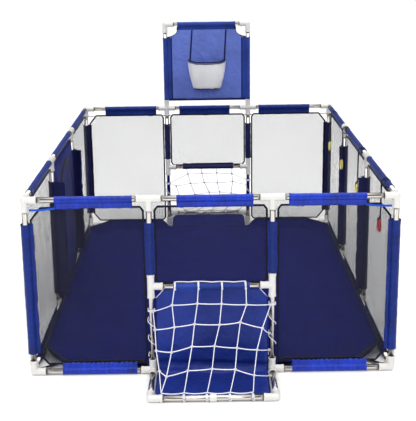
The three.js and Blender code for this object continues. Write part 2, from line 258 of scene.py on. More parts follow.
def bump(tree, shader, height, strength, distance):
    made = node(tree, "ShaderNodeBump")
    made.inputs["Strength"].default_value = strength
    made.inputs["Distance"].default_value = distance
    tree.links.new(height, made.inputs["Height"])
    tree.links.new(made.outputs["Normal"], shader.inputs["Normal"])
    return made


def wave(tree, source, axis, period):
    """Bands across one UV axis, one every period."""
    made = node(tree, "ShaderNodeTexWave", wave_type="BANDS", bands_direction=axis)
    made.inputs["Scale"].default_value = 0.314159 / period
    tree.links.new(source, made.inputs["Vector"])
    return made.outputs["Fac"]


def clouds(tree, vector, scale, **inputs):
    """The strength of a noise texture along the given vector."""
    made = node(tree, "ShaderNodeTexNoise")
    for key, value in {"Scale": scale, **inputs}.items():
        made.inputs[key].default_value = value
    tree.links.new(vector, made.inputs["Vector"])
    return made.outputs["Fac"]


def blended(tree, factor, low, high, start=0.0, end=1.0):
    """A colour that runs from low to high as the factor goes from start to end."""
    ramp = node(tree, "ShaderNodeValToRGB")
    low_stop, high_stop = ramp.color_ramp.elements
    low_stop.position, low_stop.color = start, low
    high_stop.position, high_stop.color = end, high
    tree.links.new(factor, ramp.inputs["Fac"])
    return ramp.outputs["Color"]


def remapped(tree, value, **limits):
    made = node(tree, "ShaderNodeMapRange")
    for key, limit in limits.items():
        made.inputs[key.replace("_", " ")].default_value = limit
    tree.links.new(value, made.inputs["Value"])
    return made.outputs["Result"]


def uv_of(tree):
    return node(tree, "ShaderNodeUVMap", uv_map="UVMap").outputs["UV"]


def place_of(tree):
    return node(tree, "ShaderNodeTexCoord").outputs["Object"]


def mixed(tree, kind, a, b):
    made = node(tree, "ShaderNodeMath", operation=kind)
    for socket, value in zip(made.inputs, (a, b)):
        if hasattr(value, "is_linked"):
            tree.links.new(value, socket)
        else:
            socket.default_value = value
    return made.outputs[0]


print("node helpers ready")

# %% [markdown]
# The cloth is a plain-woven oxford: thick yarns over and under each other, a soft
# sheen, and a slow drift of colour that is partly the cloth's uneven tone and partly
# painted light and shade of its folds. Two crossed bands of ridges make the weave, and
# a broad noise makes the drift. Where asked, stretched streaks paint shade into
# creases and light onto their ridges.

# %% Cloth finish
YARN = 0.0011
CREASE_SHADE_STRETCH = (14.0, 75.0, 1.0)


def woven(name, colour, rough=0.5, sheen=0.02, yarn=YARN, tone_and_shade_drift=0.22, coat=0.0, crinkle=0.25, gloss=0.16,
          painted_crease_shade=0.0):
    look, tree, shader = new_finish(name, Roughness=rough, Sheen_Weight=sheen, Sheen_Roughness=0.4,
                                    Specular_IOR_Level=gloss, Coat_Weight=coat, Coat_Roughness=0.16)
    uv, place = uv_of(tree), place_of(tree)
    weave = mixed(tree, "MAXIMUM", wave(tree, uv, "X", yarn), wave(tree, uv, "Y", yarn))
    # broad noise: the cloth's uneven tone plus painted light and shade of its folds
    drifted = blended(tree, clouds(tree, place, 9.0, Detail=4.0), tint(colour, 1 - tone_and_shade_drift),
                      tint(colour, 1 + tone_and_shade_drift),
                      0.3, 0.72)
    thread = node(tree, "ShaderNodeMix", data_type="RGBA", blend_type="MULTIPLY")
    thread.inputs["Factor"].default_value = 1.0
    tree.links.new(drifted, thread.inputs[6])
    tree.links.new(remapped(tree, weave, To_Min=0.72, To_Max=1.08), thread.inputs[7])
    colour_out = thread.outputs[2]
    # painted shade: stretched streaks darken the colour in creases and lighten it on their ridges
    if painted_crease_shade:
        across = node(tree, "ShaderNodeMapping")
        across.inputs["Scale"].default_value = CREASE_SHADE_STRETCH
        tree.links.new(uv, across.inputs["Vector"])
        crease_shade_streaks = clouds(tree, across.outputs["Vector"], 1.0, Detail=2.0)
        crease_shade_scale = node(tree, "ShaderNodeVectorMath", operation="SCALE")
        tree.links.new(colour_out, crease_shade_scale.inputs[0])
        tree.links.new(remapped(tree, crease_shade_streaks, From_Min=0.32, From_Max=0.68, To_Min=1 - painted_crease_shade,
                                To_Max=1 + painted_crease_shade * 0.9), crease_shade_scale.inputs["Scale"])
        colour_out = crease_shade_scale.outputs["Vector"]
    tree.links.new(colour_out, shader.inputs["Base Color"])
    broad = bump(tree, shader, clouds(tree, place, 38.0, Detail=3.0, Distortion=0.8), crinkle, 0.006)
    fine = bump(tree, shader, weave, 0.35, 0.0003)
    tree.links.new(broad.outputs["Normal"], fine.inputs["Normal"])
    return look


def solid_colour(r, g, b):
    """A colour given in display values, made linear for the shader."""
    return tuple(((c + 0.055) / 1.055) ** 2.4 if c > 0.04045 else c / 12.92 for c in (r, g, b)) + (1.0,)


sleeve_blue = woven("sleeve_blue", solid_colour(0.03, 0.18, 0.655), rough=0.42, coat=0.30, crinkle=0.9,
                    tone_and_shade_drift=0.3, painted_crease_shade=0.34)
# The next two are the same blue sleeve cloth as above, painted darker: painted shade for the rails of the other
# walls, and deeper painted shade for the upright posts.
sleeve_blue_shaded = woven("sleeve_blue_shaded", solid_colour(0.08, 0.17, 0.47), rough=0.5, coat=0.08, crinkle=0.4,
                    painted_crease_shade=0.2)
post_blue_shaded = woven("post_blue_shaded", solid_colour(0.03, 0.14, 0.45), rough=0.45, coat=0.12, crinkle=0.4,
                  painted_crease_shade=0.22)
sleeve_navy = woven("sleeve_navy", solid_colour(0.10, 0.11, 0.30), rough=0.5)
mat_navy = woven("mat_navy", solid_colour(0.055, 0.085, 0.37), rough=0.8, gloss=0.03, yarn=0.0014, tone_and_shade_drift=0.12)
goal_blue = woven("goal_blue", solid_colour(0.10, 0.18, 0.50), rough=0.45, coat=0.15, crinkle=0.8)
board_blue = woven("board_blue", solid_colour(0.37, 0.45, 0.77), rough=0.5, tone_and_shade_drift=0.14, crinkle=0.9,
                   gloss=0.3)
band_blue = woven("band_blue", solid_colour(0.16, 0.25, 0.57), rough=0.5)
binding_black = woven("binding_black", solid_colour(0.05, 0.05, 0.11), rough=0.6, yarn=0.0008)
binding_navy = woven("binding_navy", solid_colour(0.09, 0.12, 0.32), rough=0.6, yarn=0.0008)
strap_blue = woven("strap_blue", solid_colour(0.10, 0.30, 0.74), rough=0.5, yarn=0.0008)
binding_white = woven("binding_white", solid_colour(0.86, 0.86, 0.95), rough=0.65, yarn=0.0008)
print("cloth finishes ready")

# %% [markdown]
# The see-through walls are a fine knitted mesh. Its threads are thinner than a
# millimetre, far too many to model over ten square metres, so the holes are cut by
# the alpha socket: a honeycomb of round holes at the mesh's real pitch.

# %% Mesh finish
MESH_PITCH = 0.0024


def netted(name, colour, pitch, hole, rough=0.7, through=0.0):
    look, tree, shader = new_finish(name, Roughness=rough)
    cells = node(tree, "ShaderNodeTexVoronoi", feature="F1", voronoi_dimensions="2D")
    cells.inputs["Scale"].default_value = 1 / pitch
    cells.inputs["Randomness"].default_value = 0.12
    tree.links.new(uv_of(tree), cells.inputs["Vector"])
    thread = remapped(tree, cells.outputs["Distance"], From_Min=hole - 0.05, From_Max=hole + 0.05,
                      To_Min=through, To_Max=1.0)
    tree.links.new(thread, shader.inputs["Alpha"])
    drifted = blended(tree, clouds(tree, place_of(tree), 14.0), tint(colour, 0.85), tint(colour, 1.15))
    tree.links.new(drifted, shader.inputs["Base Color"])
    return look


wall_mesh = netted("wall_mesh", solid_colour(0.07, 0.07, 0.10), MESH_PITCH, 0.475)
basket_net = netted("basket_net", solid_colour(0.97, 0.97, 0.98), 0.0026, 0.30, through=0.7)

print("mesh finishes ready")

# %% [markdown]
# Steel, plastic and rope. Polished tube shows faint drawing marks along its length,
# the connectors are glossy with a slightly uneven moulded skin, and the rope's bump
# is the diagonal lay of its braid.

# %% Hard finishes and rope
BRAID = 0.0016


def steel():
    look, tree, shader = new_finish("polished_tube", Metallic=1.0, Roughness=0.13)
    shader.inputs["Base Color"].default_value = solid_colour(0.80, 0.78, 0.76)
    grain = clouds(tree, place_of(tree), 160.0, Detail=3.0)
    tree.links.new(remapped(tree, grain, To_Min=0.07, To_Max=0.2), shader.inputs["Roughness"])
    bump(tree, shader, grain, 0.04, 0.0002)
    return look


def moulded(name, colour, rough=0.32, grain_size=240.0):
    look, tree, shader = new_finish(name, Roughness=rough, Coat_Weight=0.15, Coat_Roughness=0.2)
    place = place_of(tree)
    drifted = blended(tree, clouds(tree, place, 18.0, Detail=5.0), tint(colour, 0.93), tint(colour, 1.03))
    tree.links.new(drifted, shader.inputs["Base Color"])
    bump(tree, shader, clouds(tree, place, grain_size), 0.08, 0.0003)
    return look


def braided(name, colour):
    look, tree, shader = new_finish(name, Roughness=0.75, Sheen_Weight=0.3)
    turn = node(tree, "ShaderNodeMapping")
    turn.inputs["Rotation"].default_value = (0, 0, math.radians(38))
    tree.links.new(uv_of(tree), turn.inputs["Vector"])
    along = turn.outputs["Vector"]
    strands = mixed(tree, "MULTIPLY", wave(tree, along, "X", BRAID), wave(tree, along, "Y", BRAID))
    tree.links.new(blended(tree, strands, tint(colour, 0.78), tint(colour, 1.0), 0.0, 0.4),
                   shader.inputs["Base Color"])
    bump(tree, shader, strands, 0.5, 0.0004)
    return look


tube_steel = steel()
fitting_white = moulded("fitting_white", solid_colour(0.86, 0.855, 0.84))
rope_white = braided("rope_white", solid_colour(0.97, 0.97, 1.0))
ring_yellow = moulded("ring_yellow", solid_colour(0.98, 0.93, 0.50), rough=0.4)
ring_red = moulded("ring_red", solid_colour(0.93, 0.12, 0.17), rough=0.4)
zip_black = moulded("zip_black", solid_colour(0.06, 0.06, 0.10), rough=0.35)
print("hard finishes ready")


# %% [markdown]
# ## Handing pieces over
# Every piece rides on a body, takes its finish, and hides the frame nodes it stands for.
# One function does the three, so that none is forgotten.

# %% Handing over
def hand_over(piece, look, body="frame", replaces=()):
    if look is not None:
        piece.data.materials.clear()
        piece.data.materials.append(look)
    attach(piece, body)
    if replaces:
        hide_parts(*replaces)
    return piece


def thicken(piece, thickness, offset=0.0):
    made = piece.modifiers.new("cloth_thickness", "SOLIDIFY")
    made.thickness = thickness
    made.offset = offset
    made.use_even_offset = False
    return piece


print("pieces can be handed over")

# %% [markdown]
# ## Steel tubes
# The frame's tubes have twelve flats. A polished tube needs a round section to catch
# one clean line of light, so each is drawn again with a finer one, and its ends are
# buried in the connectors as they are on the real kit.

# %% Tubes
TUBE_SIDES = 28
END = 0.012


def lay_tube(piece, *nodes):
    hand_over(piece, tube_steel, replaces=nodes)


def tube(name, a, b):
    a, b = Vector(a), Vector(b)
    up = (0, 0, 1) if abs((b - a).normalized().z) < 0.9 else (0, 1, 0)
    return sweep(name, [a, a.lerp(b, 0.5), b], round_section(TUBE_R, TUBE_SIDES), up)


SIDES = (-1, 1)
END_NAME = {-1: "front", 1: "back"}
SIDE_NAME = {-1: "left", 1: "right"}
for sy in SIDES:
    for sx in SIDES:
        corner = f"{END_NAME[sy]}_{SIDE_NAME[sx]}"
        for kind, x in (("corner", WALL_X), ("goal", GOAL_X)):
            post = tube(f"{corner}_{kind}_post_tube", (sx * x, sy * WALL_Y, BASE_Z + END),
                        (sx * x, sy * WALL_Y, TOP_Z - END))
            lay_tube(post, f"{corner}_{kind}_post")
        post = tube(f"{SIDE_NAME[sx]}_{END_NAME[sy]}_side_post_tube",
                    (sx * WALL_X, sy * SIDE_Y, BASE_Z + END),
                    (sx * WALL_X, sy * SIDE_Y, TOP_Z - END))
        lay_tube(post, f"{SIDE_NAME[sx]}_{END_NAME[sy]}_side_post")
        rail = tube(f"{corner}_base_rail_tube", (sx * (WALL_X - END), sy * WALL_Y, BASE_Z),
                    (sx * (GOAL_X + END), sy * WALL_Y, BASE_Z))
        lay_tube(rail, f"{corner}_base_rail")


def rail_in_bays(name, places):
    """One tube for each bay, stopping inside the connectors at its ends."""
    pieces = []
    for a, b in zip(places, places[1:]):
        a, b = Vector(a), Vector(b)
        way = (b - a).normalized()
        pieces.append(tube("bay", a + way * END, b - way * END))
    return join(name, pieces)


SHORT_PLACES = (-WALL_X, -GOAL_X, GOAL_X, WALL_X)
LONG_PLACES = (-WALL_Y, -SIDE_Y, SIDE_Y, WALL_Y)
for sy in SIDES:
    rail = rail_in_bays(f"{END_NAME[sy]}_top_rail_tubes", [(x, sy * WALL_Y, TOP_Z) for x in SHORT_PLACES])
    lay_tube(rail, f"{END_NAME[sy]}_top_rail")
for sx in SIDES:
    for level, z in (("top", TOP_Z), ("base", BASE_Z)):
        rail = rail_in_bays(f"{SIDE_NAME[sx]}_{level}_rail_tubes", [(sx * WALL_X, y, z) for y in LONG_PLACES])
        lay_tube(rail, f"{SIDE_NAME[sx]}_{level}_rail")

for sy in SIDES:
    end = END_NAME[sy]
    bar = tube(f"{end}_goal_crossbar_tube", (-GOAL_X + END, sy * WALL_Y, CROSS_Z),
               (GOAL_X - END, sy * WALL_Y, CROSS_Z))
    lay_tube(bar, f"{end}_goal_crossbar")
    far = sy * GOAL_Y
    legs = [tube("leg", (sx * GOAL_X, sy * (WALL_Y + END), BASE_Z), (sx * GOAL_X, far - sy * END, BASE_Z))
            for sx in SIDES]
    legs.append(tube("bar", (-GOAL_X + END, far, BASE_Z), (GOAL_X - END, far, BASE_Z)))
    lay_tube(join(f"{end}_goal_floor_tubes", legs), f"{end}_goal_floor_frame")

stand = [tube("leg", (sx * GOAL_X, WALL_Y, TOP_Z + END), (sx * GOAL_X, WALL_Y, BOARD_Z - END))
         for sx in SIDES]
stand.append(tube("bar", (-GOAL_X + END, WALL_Y, BOARD_Z), (GOAL_X - END, WALL_Y, BOARD_Z)))
lay_tube(join("board_stand_tubes", stand), "board_frame")
print("tubes drawn")

# %% [markdown]
# ## Connectors
# A fitting is a knuckle with an arm for each tube. Each arm is turned like a vase: a
# plain barrel, a raised collar at the mouth, and a recess that the tube goes into.

# %% Fittings
BARREL_R = SOCKET_R - 0.0010
COLLAR = 0.009
FITTING_SIDES = 32


def arm_solid(way, phase):
    recess = TUBE_R + 0.0004
    profile = [(-0.004, 0.0), (-0.004, BARREL_R * 0.8), (0.0, BARREL_R), (ARM - COLLAR, BARREL_R),
               (ARM - COLLAR + 0.0008, SOCKET_R),
               (ARM - 0.0012, SOCKET_R), (ARM, SOCKET_R - 0.0012), (ARM, recess + 0.0008),
               (ARM - 0.0008, recess), (ARM - 0.006, recess), (ARM - 0.006, 0.0)]
    way = Vector(way)
    side = way.orthogonal().normalized()
    lift = way.cross(side)
    points, faces, rings = [], [], []
    for along, radius in profile:
        if radius == 0.0:
            rings.append([len(points)])
            points.append(way * along)
            continue
        rings.append(list(range(len(points), len(points) + FITTING_SIDES)))
        for k in range(FITTING_SIDES):
            a = 2 * math.pi * k / FITTING_SIDES + phase
            points.append(way * along + side * (radius * math.cos(a)) + lift * (radius * math.sin(a)))
    for low, high in zip(rings, rings[1:]):
        for k in range(FITTING_SIDES):
            n = (k + 1) % FITTING_SIDES
            if len(low) == 1:
                faces.append((low[0], high[k], high[n]))
            elif len(high) == 1:
                faces.append((low[n], low[k], high[0]))
            else:
                faces.append((low[n], low[k], high[k], high[n]))
    return outward(mesh_piece("arm", points, faces))


def knuckle():
    tool = bmesh.new()
    bmesh.ops.create_uvsphere(tool, u_segments=FITTING_SIDES, v_segments=16, radius=BARREL_R)
    data = bpy.data.meshes.new("knuckle")
    tool.to_mesh(data)
    tool.free()
    data.transform(Matrix.Rotation(0.11, 4, (0.3, 0.5, 0.8)))
    return placed("knuckle", data)


def united(base, others):
    for other in others:
        made = base.modifiers.new("union", "BOOLEAN")
        made.operation = "UNION"
        made.solver = "MANIFOLD"
        made.object = other
    bpy.context.view_layer.update()
    data = bpy.data.meshes.new_from_object(base.evaluated_get(bpy.context.evaluated_depsgraph_get()))
    for piece in [base, *others]:
        bpy.data.objects.remove(piece)
    return data


kinds = {}


def fitting(name, centre, ways):
    key = tuple(sorted(tuple(w) for w in ways))
    if key not in kinds:
        data = united(knuckle(), [arm_solid(w, 0.037 * (i + 1)) for i, w in enumerate(key)])
        reached = [max(v.co.dot(Vector(w)) for v in data.vertices) for w in key]
        assert min(reached) > ARM - 0.0005, key
        data.set_sharp_from_angle(angle=math.radians(38))
        data.polygons.foreach_set("use_smooth", [True] * len(data.polygons))
        kinds[key] = data
    data = kinds[key].copy()
    data.transform(Matrix.Translation(Vector(centre)))
    return placed(name, data)


def fit(name, centre, ways, *nodes):
    hand_over(fitting(name, centre, ways), fitting_white, replaces=nodes)


UP, DOWN = (0, 0, 1), (0, 0, -1)
EAST, WEST, NORTH, SOUTH = (1, 0, 0), (-1, 0, 0), (0, 1, 0), (0, -1, 0)
for sy in SIDES:
    along_y = NORTH if sy < 0 else SOUTH
    outward_y = SOUTH if sy < 0 else NORTH
    for sx in SIDES:
        along_x = EAST if sx < 0 else WEST
        outward_x = WEST if sx < 0 else EAST
        corner = f"{END_NAME[sy]}_{SIDE_NAME[sx]}"
        base = (sx * WALL_X, sy * WALL_Y, BASE_Z)
        top = (sx * WALL_X, sy * WALL_Y, TOP_Z)
        fit(f"{corner}_base_fitting", base, [along_x, along_y, UP], f"{corner}_base_corner")
        fit(f"{corner}_top_fitting", top, [along_x, along_y, DOWN], f"{corner}_top_corner")
        foot = (sx * GOAL_X, sy * WALL_Y, BASE_Z)
        head = (sx * GOAL_X, sy * WALL_Y, TOP_Z)
        fit(f"{corner}_foot_fitting", foot, [outward_x, outward_y, UP], f"{corner}_goal_foot")
        head_ways, head_node = ([EAST, WEST, DOWN], "top_tee") if sy < 0 else ([EAST, WEST, DOWN, UP],
                "top_cross")
        fit(f"{corner}_head_fitting", head, head_ways, f"{corner}_{head_node}")
        side = (sx * WALL_X, sy * SIDE_Y)
        fit(f"{SIDE_NAME[sx]}_{END_NAME[sy]}_top_tee_fitting", (*side, TOP_Z), [NORTH, SOUTH, DOWN])
        fit(f"{SIDE_NAME[sx]}_{END_NAME[sy]}_base_tee_fitting", (*side, BASE_Z), [NORTH, SOUTH, UP])
        cross = (sx * GOAL_X, sy * WALL_Y, CROSS_Z)
        fit(f"{corner}_crossbar_tee_fitting", cross, [UP, DOWN, along_x])
        elbow = (sx * GOAL_X, sy * GOAL_Y, BASE_Z)
        fit(f"{corner}_floor_elbow_fitting", elbow, [along_x, along_y])
for sx in SIDES:
    along_x = EAST if sx < 0 else WEST
    fit(f"board_{SIDE_NAME[sx]}_elbow_fitting", (sx * GOAL_X, WALL_Y, BOARD_Z), [along_x, DOWN])

CLIP_HALF = 0.011
for sy in SIDES:
    clip = sweep(f"{END_NAME[sy]}_floor_bar_clip",
                 [(-CLIP_HALF, sy * GOAL_Y, BASE_Z), (0, sy * GOAL_Y, BASE_Z),
                 (CLIP_HALF, sy * GOAL_Y, BASE_Z)], round_section(SOCKET_R - 0.0004, FITTING_SIDES))
    edge = clip.modifiers.new("edge", "BEVEL")
    edge.width = 0.001
    edge.segments = 2
    hand_over(clip, fitting_white)
print("fittings of", len(kinds), "kinds")

# %% [markdown]
# ## Bays
# Every wall is made of bays between posts. A bay knows its lower corner, the way
# along it and the way inward, so that a sleeve, a panel or a strap is drawn once in
# the bay's own measures (across, up, inward) and then put on any wall.

# %% Bays
class Bay:
    def __init__(self, name, start, end, inward, low=BASE_Z, top=TOP_Z):
        self.name = name
        self.start = Vector((*start, 0.0))
        self.along = (Vector((*end, 0.0)) - self.start).normalized()
        self.width = (Vector((*end, 0.0)) - self.start).length
        self.inward = Vector((*inward, 0.0))
        self.low, self.top = low, top

    def at(self, across, up, inward=0.0):
        return self.start + self.along * across + self.inward * inward + Vector((0, 0, up))


def wall_bays(end_name, y, sy):
    xs = SHORT_PLACES
    bays = [Bay(f"{end_name}_{label}_bay", (a, y), (b, y), (0, -sy)) for label, a, b in
            zip(("left", "middle", "right"), xs, xs[1:])]
    bays[1].low = CROSS_Z
    return bays


BAYS = {"front": wall_bays("front", -WALL_Y, -1), "back": wall_bays("back", WALL_Y, 1)}
for sx in SIDES:
    BAYS[SIDE_NAME[sx]] = [Bay(f"{SIDE_NAME[sx]}_{label}_bay", (sx * WALL_X, a), (sx * WALL_X, b), (-sx, 0))
                           for label, a, b in zip(("front", "middle", "back"), LONG_PLACES, LONG_PLACES[1:])]
print({wall: [round(bay.width, 3) for bay in bays] for wall, bays in BAYS.items()})

# %% [markdown]
# ## Fabric sleeves
# Each tube wears a sewn sleeve: the cloth is wrapped round the tube and stitched to
# itself, which leaves a flat flange that the wall is sewn to. The section is a circle
# with one or two thin flanges, carried along the tube with small puckers. The tube
# shows bare at both ends, where it enters its connector.

# %% Sleeves
SLEEVE_R = TUBE_R + 0.0016
SLEEVE_CLOTH = 0.0007
FLANGE, BACK_FLANGE = 0.031, 0.038
FLANGE_HALF = 0.0011
ROW_STEP = 0.007
GATHER = 0.017


def sleeve_section(flanges, around):
    """Closed section points (sideways, up) of a sleeve round a tube, with a thin flange at each (angle, reach)."""
    points = []
    opening = math.radians(24)
    marks = sorted((angle % (2 * math.pi), reach) for angle, reach in flanges)
    steps = 22
    for k in range(steps):
        turn = 2 * math.pi * k / steps
        if all(abs((turn - angle + math.pi) % (2 * math.pi) - math.pi) > opening for angle, _ in marks):
            points.append((turn, around * math.cos(turn), around * math.sin(turn)))
    for angle, reach in marks:
        c, s = math.cos(angle), math.sin(angle)
        for order, (out, off) in enumerate([(around * 0.97, -FLANGE_HALF * 3),
                                            (around * 1.2, -FLANGE_HALF * 1.2),
                                            ((around * 1.2 + reach) / 2, -FLANGE_HALF),
                                            (reach, -FLANGE_HALF * 0.8),
                                            (reach, FLANGE_HALF * 0.8),
                                            ((around * 1.2 + reach) / 2, FLANGE_HALF),
                                            (around * 1.2, FLANGE_HALF * 1.2),
                                            (around * 0.97, FLANGE_HALF * 3)]):
            points.append((angle + 0.001 * (order - 3.5), out * c - off * s, out * s + off * c))
    points.sort(key=lambda p: p[0] % (2 * math.pi))
    return [(p, q) for _, p, q in points]


def sleeve(name, a, b, flanges, gathers=0.0, seed=0, around=SLEEVE_R):
    """flanges is a list of (world direction, reach)."""
    a, b = Vector(a), Vector(b)
    way = (b - a).normalized()
    side = way.orthogonal().normalized()
    lift = way.cross(side)
    section = sleeve_section([(math.atan2(Vector(f).dot(lift), Vector(f).dot(side)), reach) for f,
                              reach in flanges], around)
    length = (b - a).length
    count = max(4, round(length / (ROW_STEP * (0.55 if gathers else 1))))
    rows = []
    for i in range(count + 1):
        s = length * i / count
        end_flare = 0.0009 * (math.exp(-s / 0.006) + math.exp(-(length - s) / 0.006))
        row = []
        for p, q in section:
            reach = math.hypot(p, q)
            loose = 0.35 + 1.6 * max(0.0, reach - around) / FLANGE
            turn = math.atan2(q, p)
            pucker = 0.0020 * loose * ripple(s * 42, 2.4 * math.sin(turn), seed)
            crease = 0.0014 * loose * ripple(s * 120, 3.0 * math.cos(turn), seed + 5)
            grow = 1 + (pucker + crease + end_flare) / reach
            share = max(0.0, reach - around * 1.1) / FLANGE
            sway = 0.0022 * ripple(s * 16, 0.3, seed + 9) * share
            sway += gathers * 0.0024 * share ** 0.6 * math.sin(2 * math.pi * s / GATHER + 2.2 * ripple(s * 21, 0.7, seed + 2))
            row.append(a + way * s + side * (p * grow + sway) + lift * (q * grow + sway))
        rows.append(row)
    piece = skin(name, rows, wrap=True)
    return piece, length, sum(math.dist(section[k], section[k - 1]) for k in range(len(section)))


def sewn_sleeves(name, parts, look, replaces=(), around=SLEEVE_R):
    made = [sleeve(f"{name}_{i}", *part, seed=i + len(name), around=around) for i, part in enumerate(parts)]
    whole = join(name, [piece for piece, _, _ in made])
    outward(whole)
    thicken(whole, SLEEVE_CLOTH, -1)
    hand_over(whole, look, replaces=replaces)
    return whole


def rail_sleeve(bay, z, near, far, flange_way, reach=FLANGE, gathers=0.0):
    return (bay.at(near, z), bay.at(bay.width - far, z), [((0, 0, flange_way), reach)], gathers)


def post_sleeve(x, y, low, high, ways, reach):
    return ((x, y, low), (x, y, high), [(way, reach) for way in ways])


RAIL_TRIM, END_TRIM, MIDDLE_TRIM = 0.102, 0.055, 0.080
POST_LOW, POST_HIGH = BASE_Z + 0.070, TOP_Z - 0.083
CORNER_FLANGE, FRONT_POST_FLANGE, BACK_POST_FLANGE = 0.027, 0.0168, 0.0148
SIDE_FLAP = {(-1, -1): 0.058, (-1, 1): 0.050, (1, -1): 0.040, (1, 1): 0.030}
LOOSE_R = 0.0160
UPPER_LOW = CROSS_Z + 0.045
slides = {"front": 0.015, "back": -0.015}
BASE_SLIP = 0.016


def rail_trims(wall, i):
    """How far the sleeve in bay i stays clear of the posts at its two ends."""
    near, far = (RAIL_TRIM, END_TRIM) if i == 0 else (END_TRIM, RAIL_TRIM) if i == 2 else (MIDDLE_TRIM,
            MIDDLE_TRIM)
    if i == 1 and wall in slides:
        near, far = near + slides[wall], far - slides[wall]
    return near, far


for wall, bays in BAYS.items():
    short = wall in slides
    rails = []
    for i, bay in enumerate(bays):
        near, far = rail_trims(wall, i)
        rails.append(rail_sleeve(bay, TOP_Z, near, far, -1, BACK_FLANGE if wall == "back" else FLANGE,
                                 0.5 * (i == 2)))
        if i != 1 or not short:
            slip = BASE_SLIP if wall == "front" and i == 2 else 0.0
            rails.append(rail_sleeve(bay, BASE_Z, near + slip, far - slip, 1, gathers=1.0))
    sewn_sleeves(f"{wall}_rail_sleeves", rails, sleeve_blue if wall == "front" else sleeve_blue_shaded,
                 replaces=[f"{wall}_wall_fabric"])
for wall, sy in (("front", -1), ("back", 1)):
    look = post_blue_shaded if sy < 0 else sleeve_navy
    corner_posts = [post_sleeve(sx * WALL_X, sy * WALL_Y, POST_LOW, POST_HIGH, [(-sx, 0, 0), (0, -sy, 0)],
                                CORNER_FLANGE)
                    for sx in SIDES]
    sewn_sleeves(f"{wall}_corner_post_sleeves", corner_posts, look, around=LOOSE_R)
    goal_posts = [post_sleeve(sx * GOAL_X, sy * WALL_Y, UPPER_LOW, POST_HIGH, [EAST, WEST],
                              FRONT_POST_FLANGE if sy < 0 else BACK_POST_FLANGE) for sx in SIDES]
    sewn_sleeves(f"{wall}_goal_post_sleeves", goal_posts, look)
for wall, sx in (("left", -1), ("right", 1)):
    posts = []
    for sy in SIDES:
        flanges = [((-sx * 0.92, -0.39, 0), SIDE_FLAP[sx, sy]), ((-sx * 0.6, 0.8, 0), CORNER_FLANGE)]
        posts.append(((sx * WALL_X, sy * SIDE_Y, POST_LOW), (sx * WALL_X, sy * SIDE_Y, POST_HIGH), flanges))
    sewn_sleeves(f"{wall}_post_sleeves", posts, sleeve_navy, around=LOOSE_R - 0.002)
bar_back = ((-0.132, WALL_Y, CROSS_Z), (0.132, WALL_Y, CROSS_Z), [(UP, 0.020)])
sewn_sleeves("back_crossbar_sleeve", [bar_back], sleeve_navy)
print("sleeves sewn")

# %% [markdown]
# ## Mesh wall panels
# A panel is a rectangle of knitted mesh with its corners cut off, so that the
# connectors stay clear. It hangs from the sleeves' flanges and bellies a little
# inward. Rows of points follow the outline, and black tape binds the edge.

# %% Wall panels
CORNER_CUT, POST_CUT = (0.034, 0.042), (0.010, 0.014)
PANEL_EDGE_ACROSS, PANEL_EDGE_UP = 0.0195, 0.028
SEWN_IN, BELLY = 0.0015, 0.011
TAPE_WIDTH, TAPE_THICK = 0.0075, 0.0018


class Panel:
    """The outline of a bay's cloth and its depth inward from the axis of the tubes."""

    def __init__(self, bay, cuts=(POST_CUT, POST_CUT), belly=BELLY, seed=1, loose=1.0):
        self.bay, self.cuts, self.belly, self.seed, self.loose = bay, cuts, belly, seed, loose
        self.low = bay.low + (PANEL_EDGE_UP if bay.low == BASE_Z else SLEEVE_R)
        self.top = bay.top - (BACK_FLANGE - 0.003 if bay.name.startswith("back") else PANEL_EDGE_UP)
        self.left = self.right = PANEL_EDGE_ACROSS

    def sides(self, up):
        left, right = (cut[0] * max(0.0, 1 - (up - self.low) / cut[1], 1 - (self.top - up) / cut[1])
                       for cut in self.cuts)
        return self.left + left, self.bay.width - self.right - right

    def marks(self):
        """The corners of the outline: up the right side and down the left."""
        (_, left), (_, right) = self.cuts
        rising = [(self.sides(up)[1], up) for up in (self.low, self.low + right, self.top - right, self.top)]
        return rising + [(self.sides(up)[0], up)
                         for up in (self.top, self.top - left, self.low + left, self.low)]

    def depth(self, across, up):
        u = min(1.0, max(0.0, (across - self.left) / (self.bay.width - self.left - self.right)))
        v = min(1.0, max(0.0, (up - self.low) / (self.top - self.low)))
        bulge = (math.sin(math.pi * u) * math.sin(math.pi * v)) ** 0.7 if 0 < u < 1 and 0 < v < 1 else 0.0
        slow = 0.0035 * ripple(across * 7, up * 5, self.seed)
        upright = 0.0030 * ripple(across * 26 + 3 * up, up * 3, self.seed + 3)
        return SEWN_IN + (self.belly + self.loose * (slow + upright)) * bulge

    def levels(self, step):
        ups = sorted({up for _, up in self.marks()})
        marks = [a for a, b in zip(ups, ups[1:] + [9.0]) if b - a > 1e-6]
        out = []
        for a, b in zip(marks, marks[1:]):
            n = max(1, round((b - a) / step))
            out += [a + (b - a) * k / n for k in range(n)]
        return out + [self.top]

    def point(self, across, up):
        return self.bay.at(across, up, self.depth(across, up))

    def outline(self, step=0.02):
        marks = self.marks()
        path = []
        for a, b in zip(marks, marks[1:] + marks[:1]):
            n = max(2, round(math.dist(a, b) / step))
            path += [self.point(a[0] + (b[0] - a[0]) * k / n, a[1] + (b[1] - a[1]) * k / n) for k in range(n)]
        return path

    def cloth(self, name, step=0.024):
        rows, uv = [], []
        columns = max(8, round(self.bay.width / step))
        for up in self.levels(step):
            a, b = self.sides(up)
            places = [a + (b - a) * k / columns for k in range(columns + 1)]
            rows.append([self.point(x, up) for x in places])
            uv += [(x, up) for x in places]
        return cloth_of(name, rows, uv)


def tape(name, path, width=TAPE_WIDTH, thick=TAPE_THICK, up=(0, 0, 1), closed=True):
    return sweep(name, path, flat_section(width, thick), up, closed)


LOOP_R = SOCKET_R + 0.0012


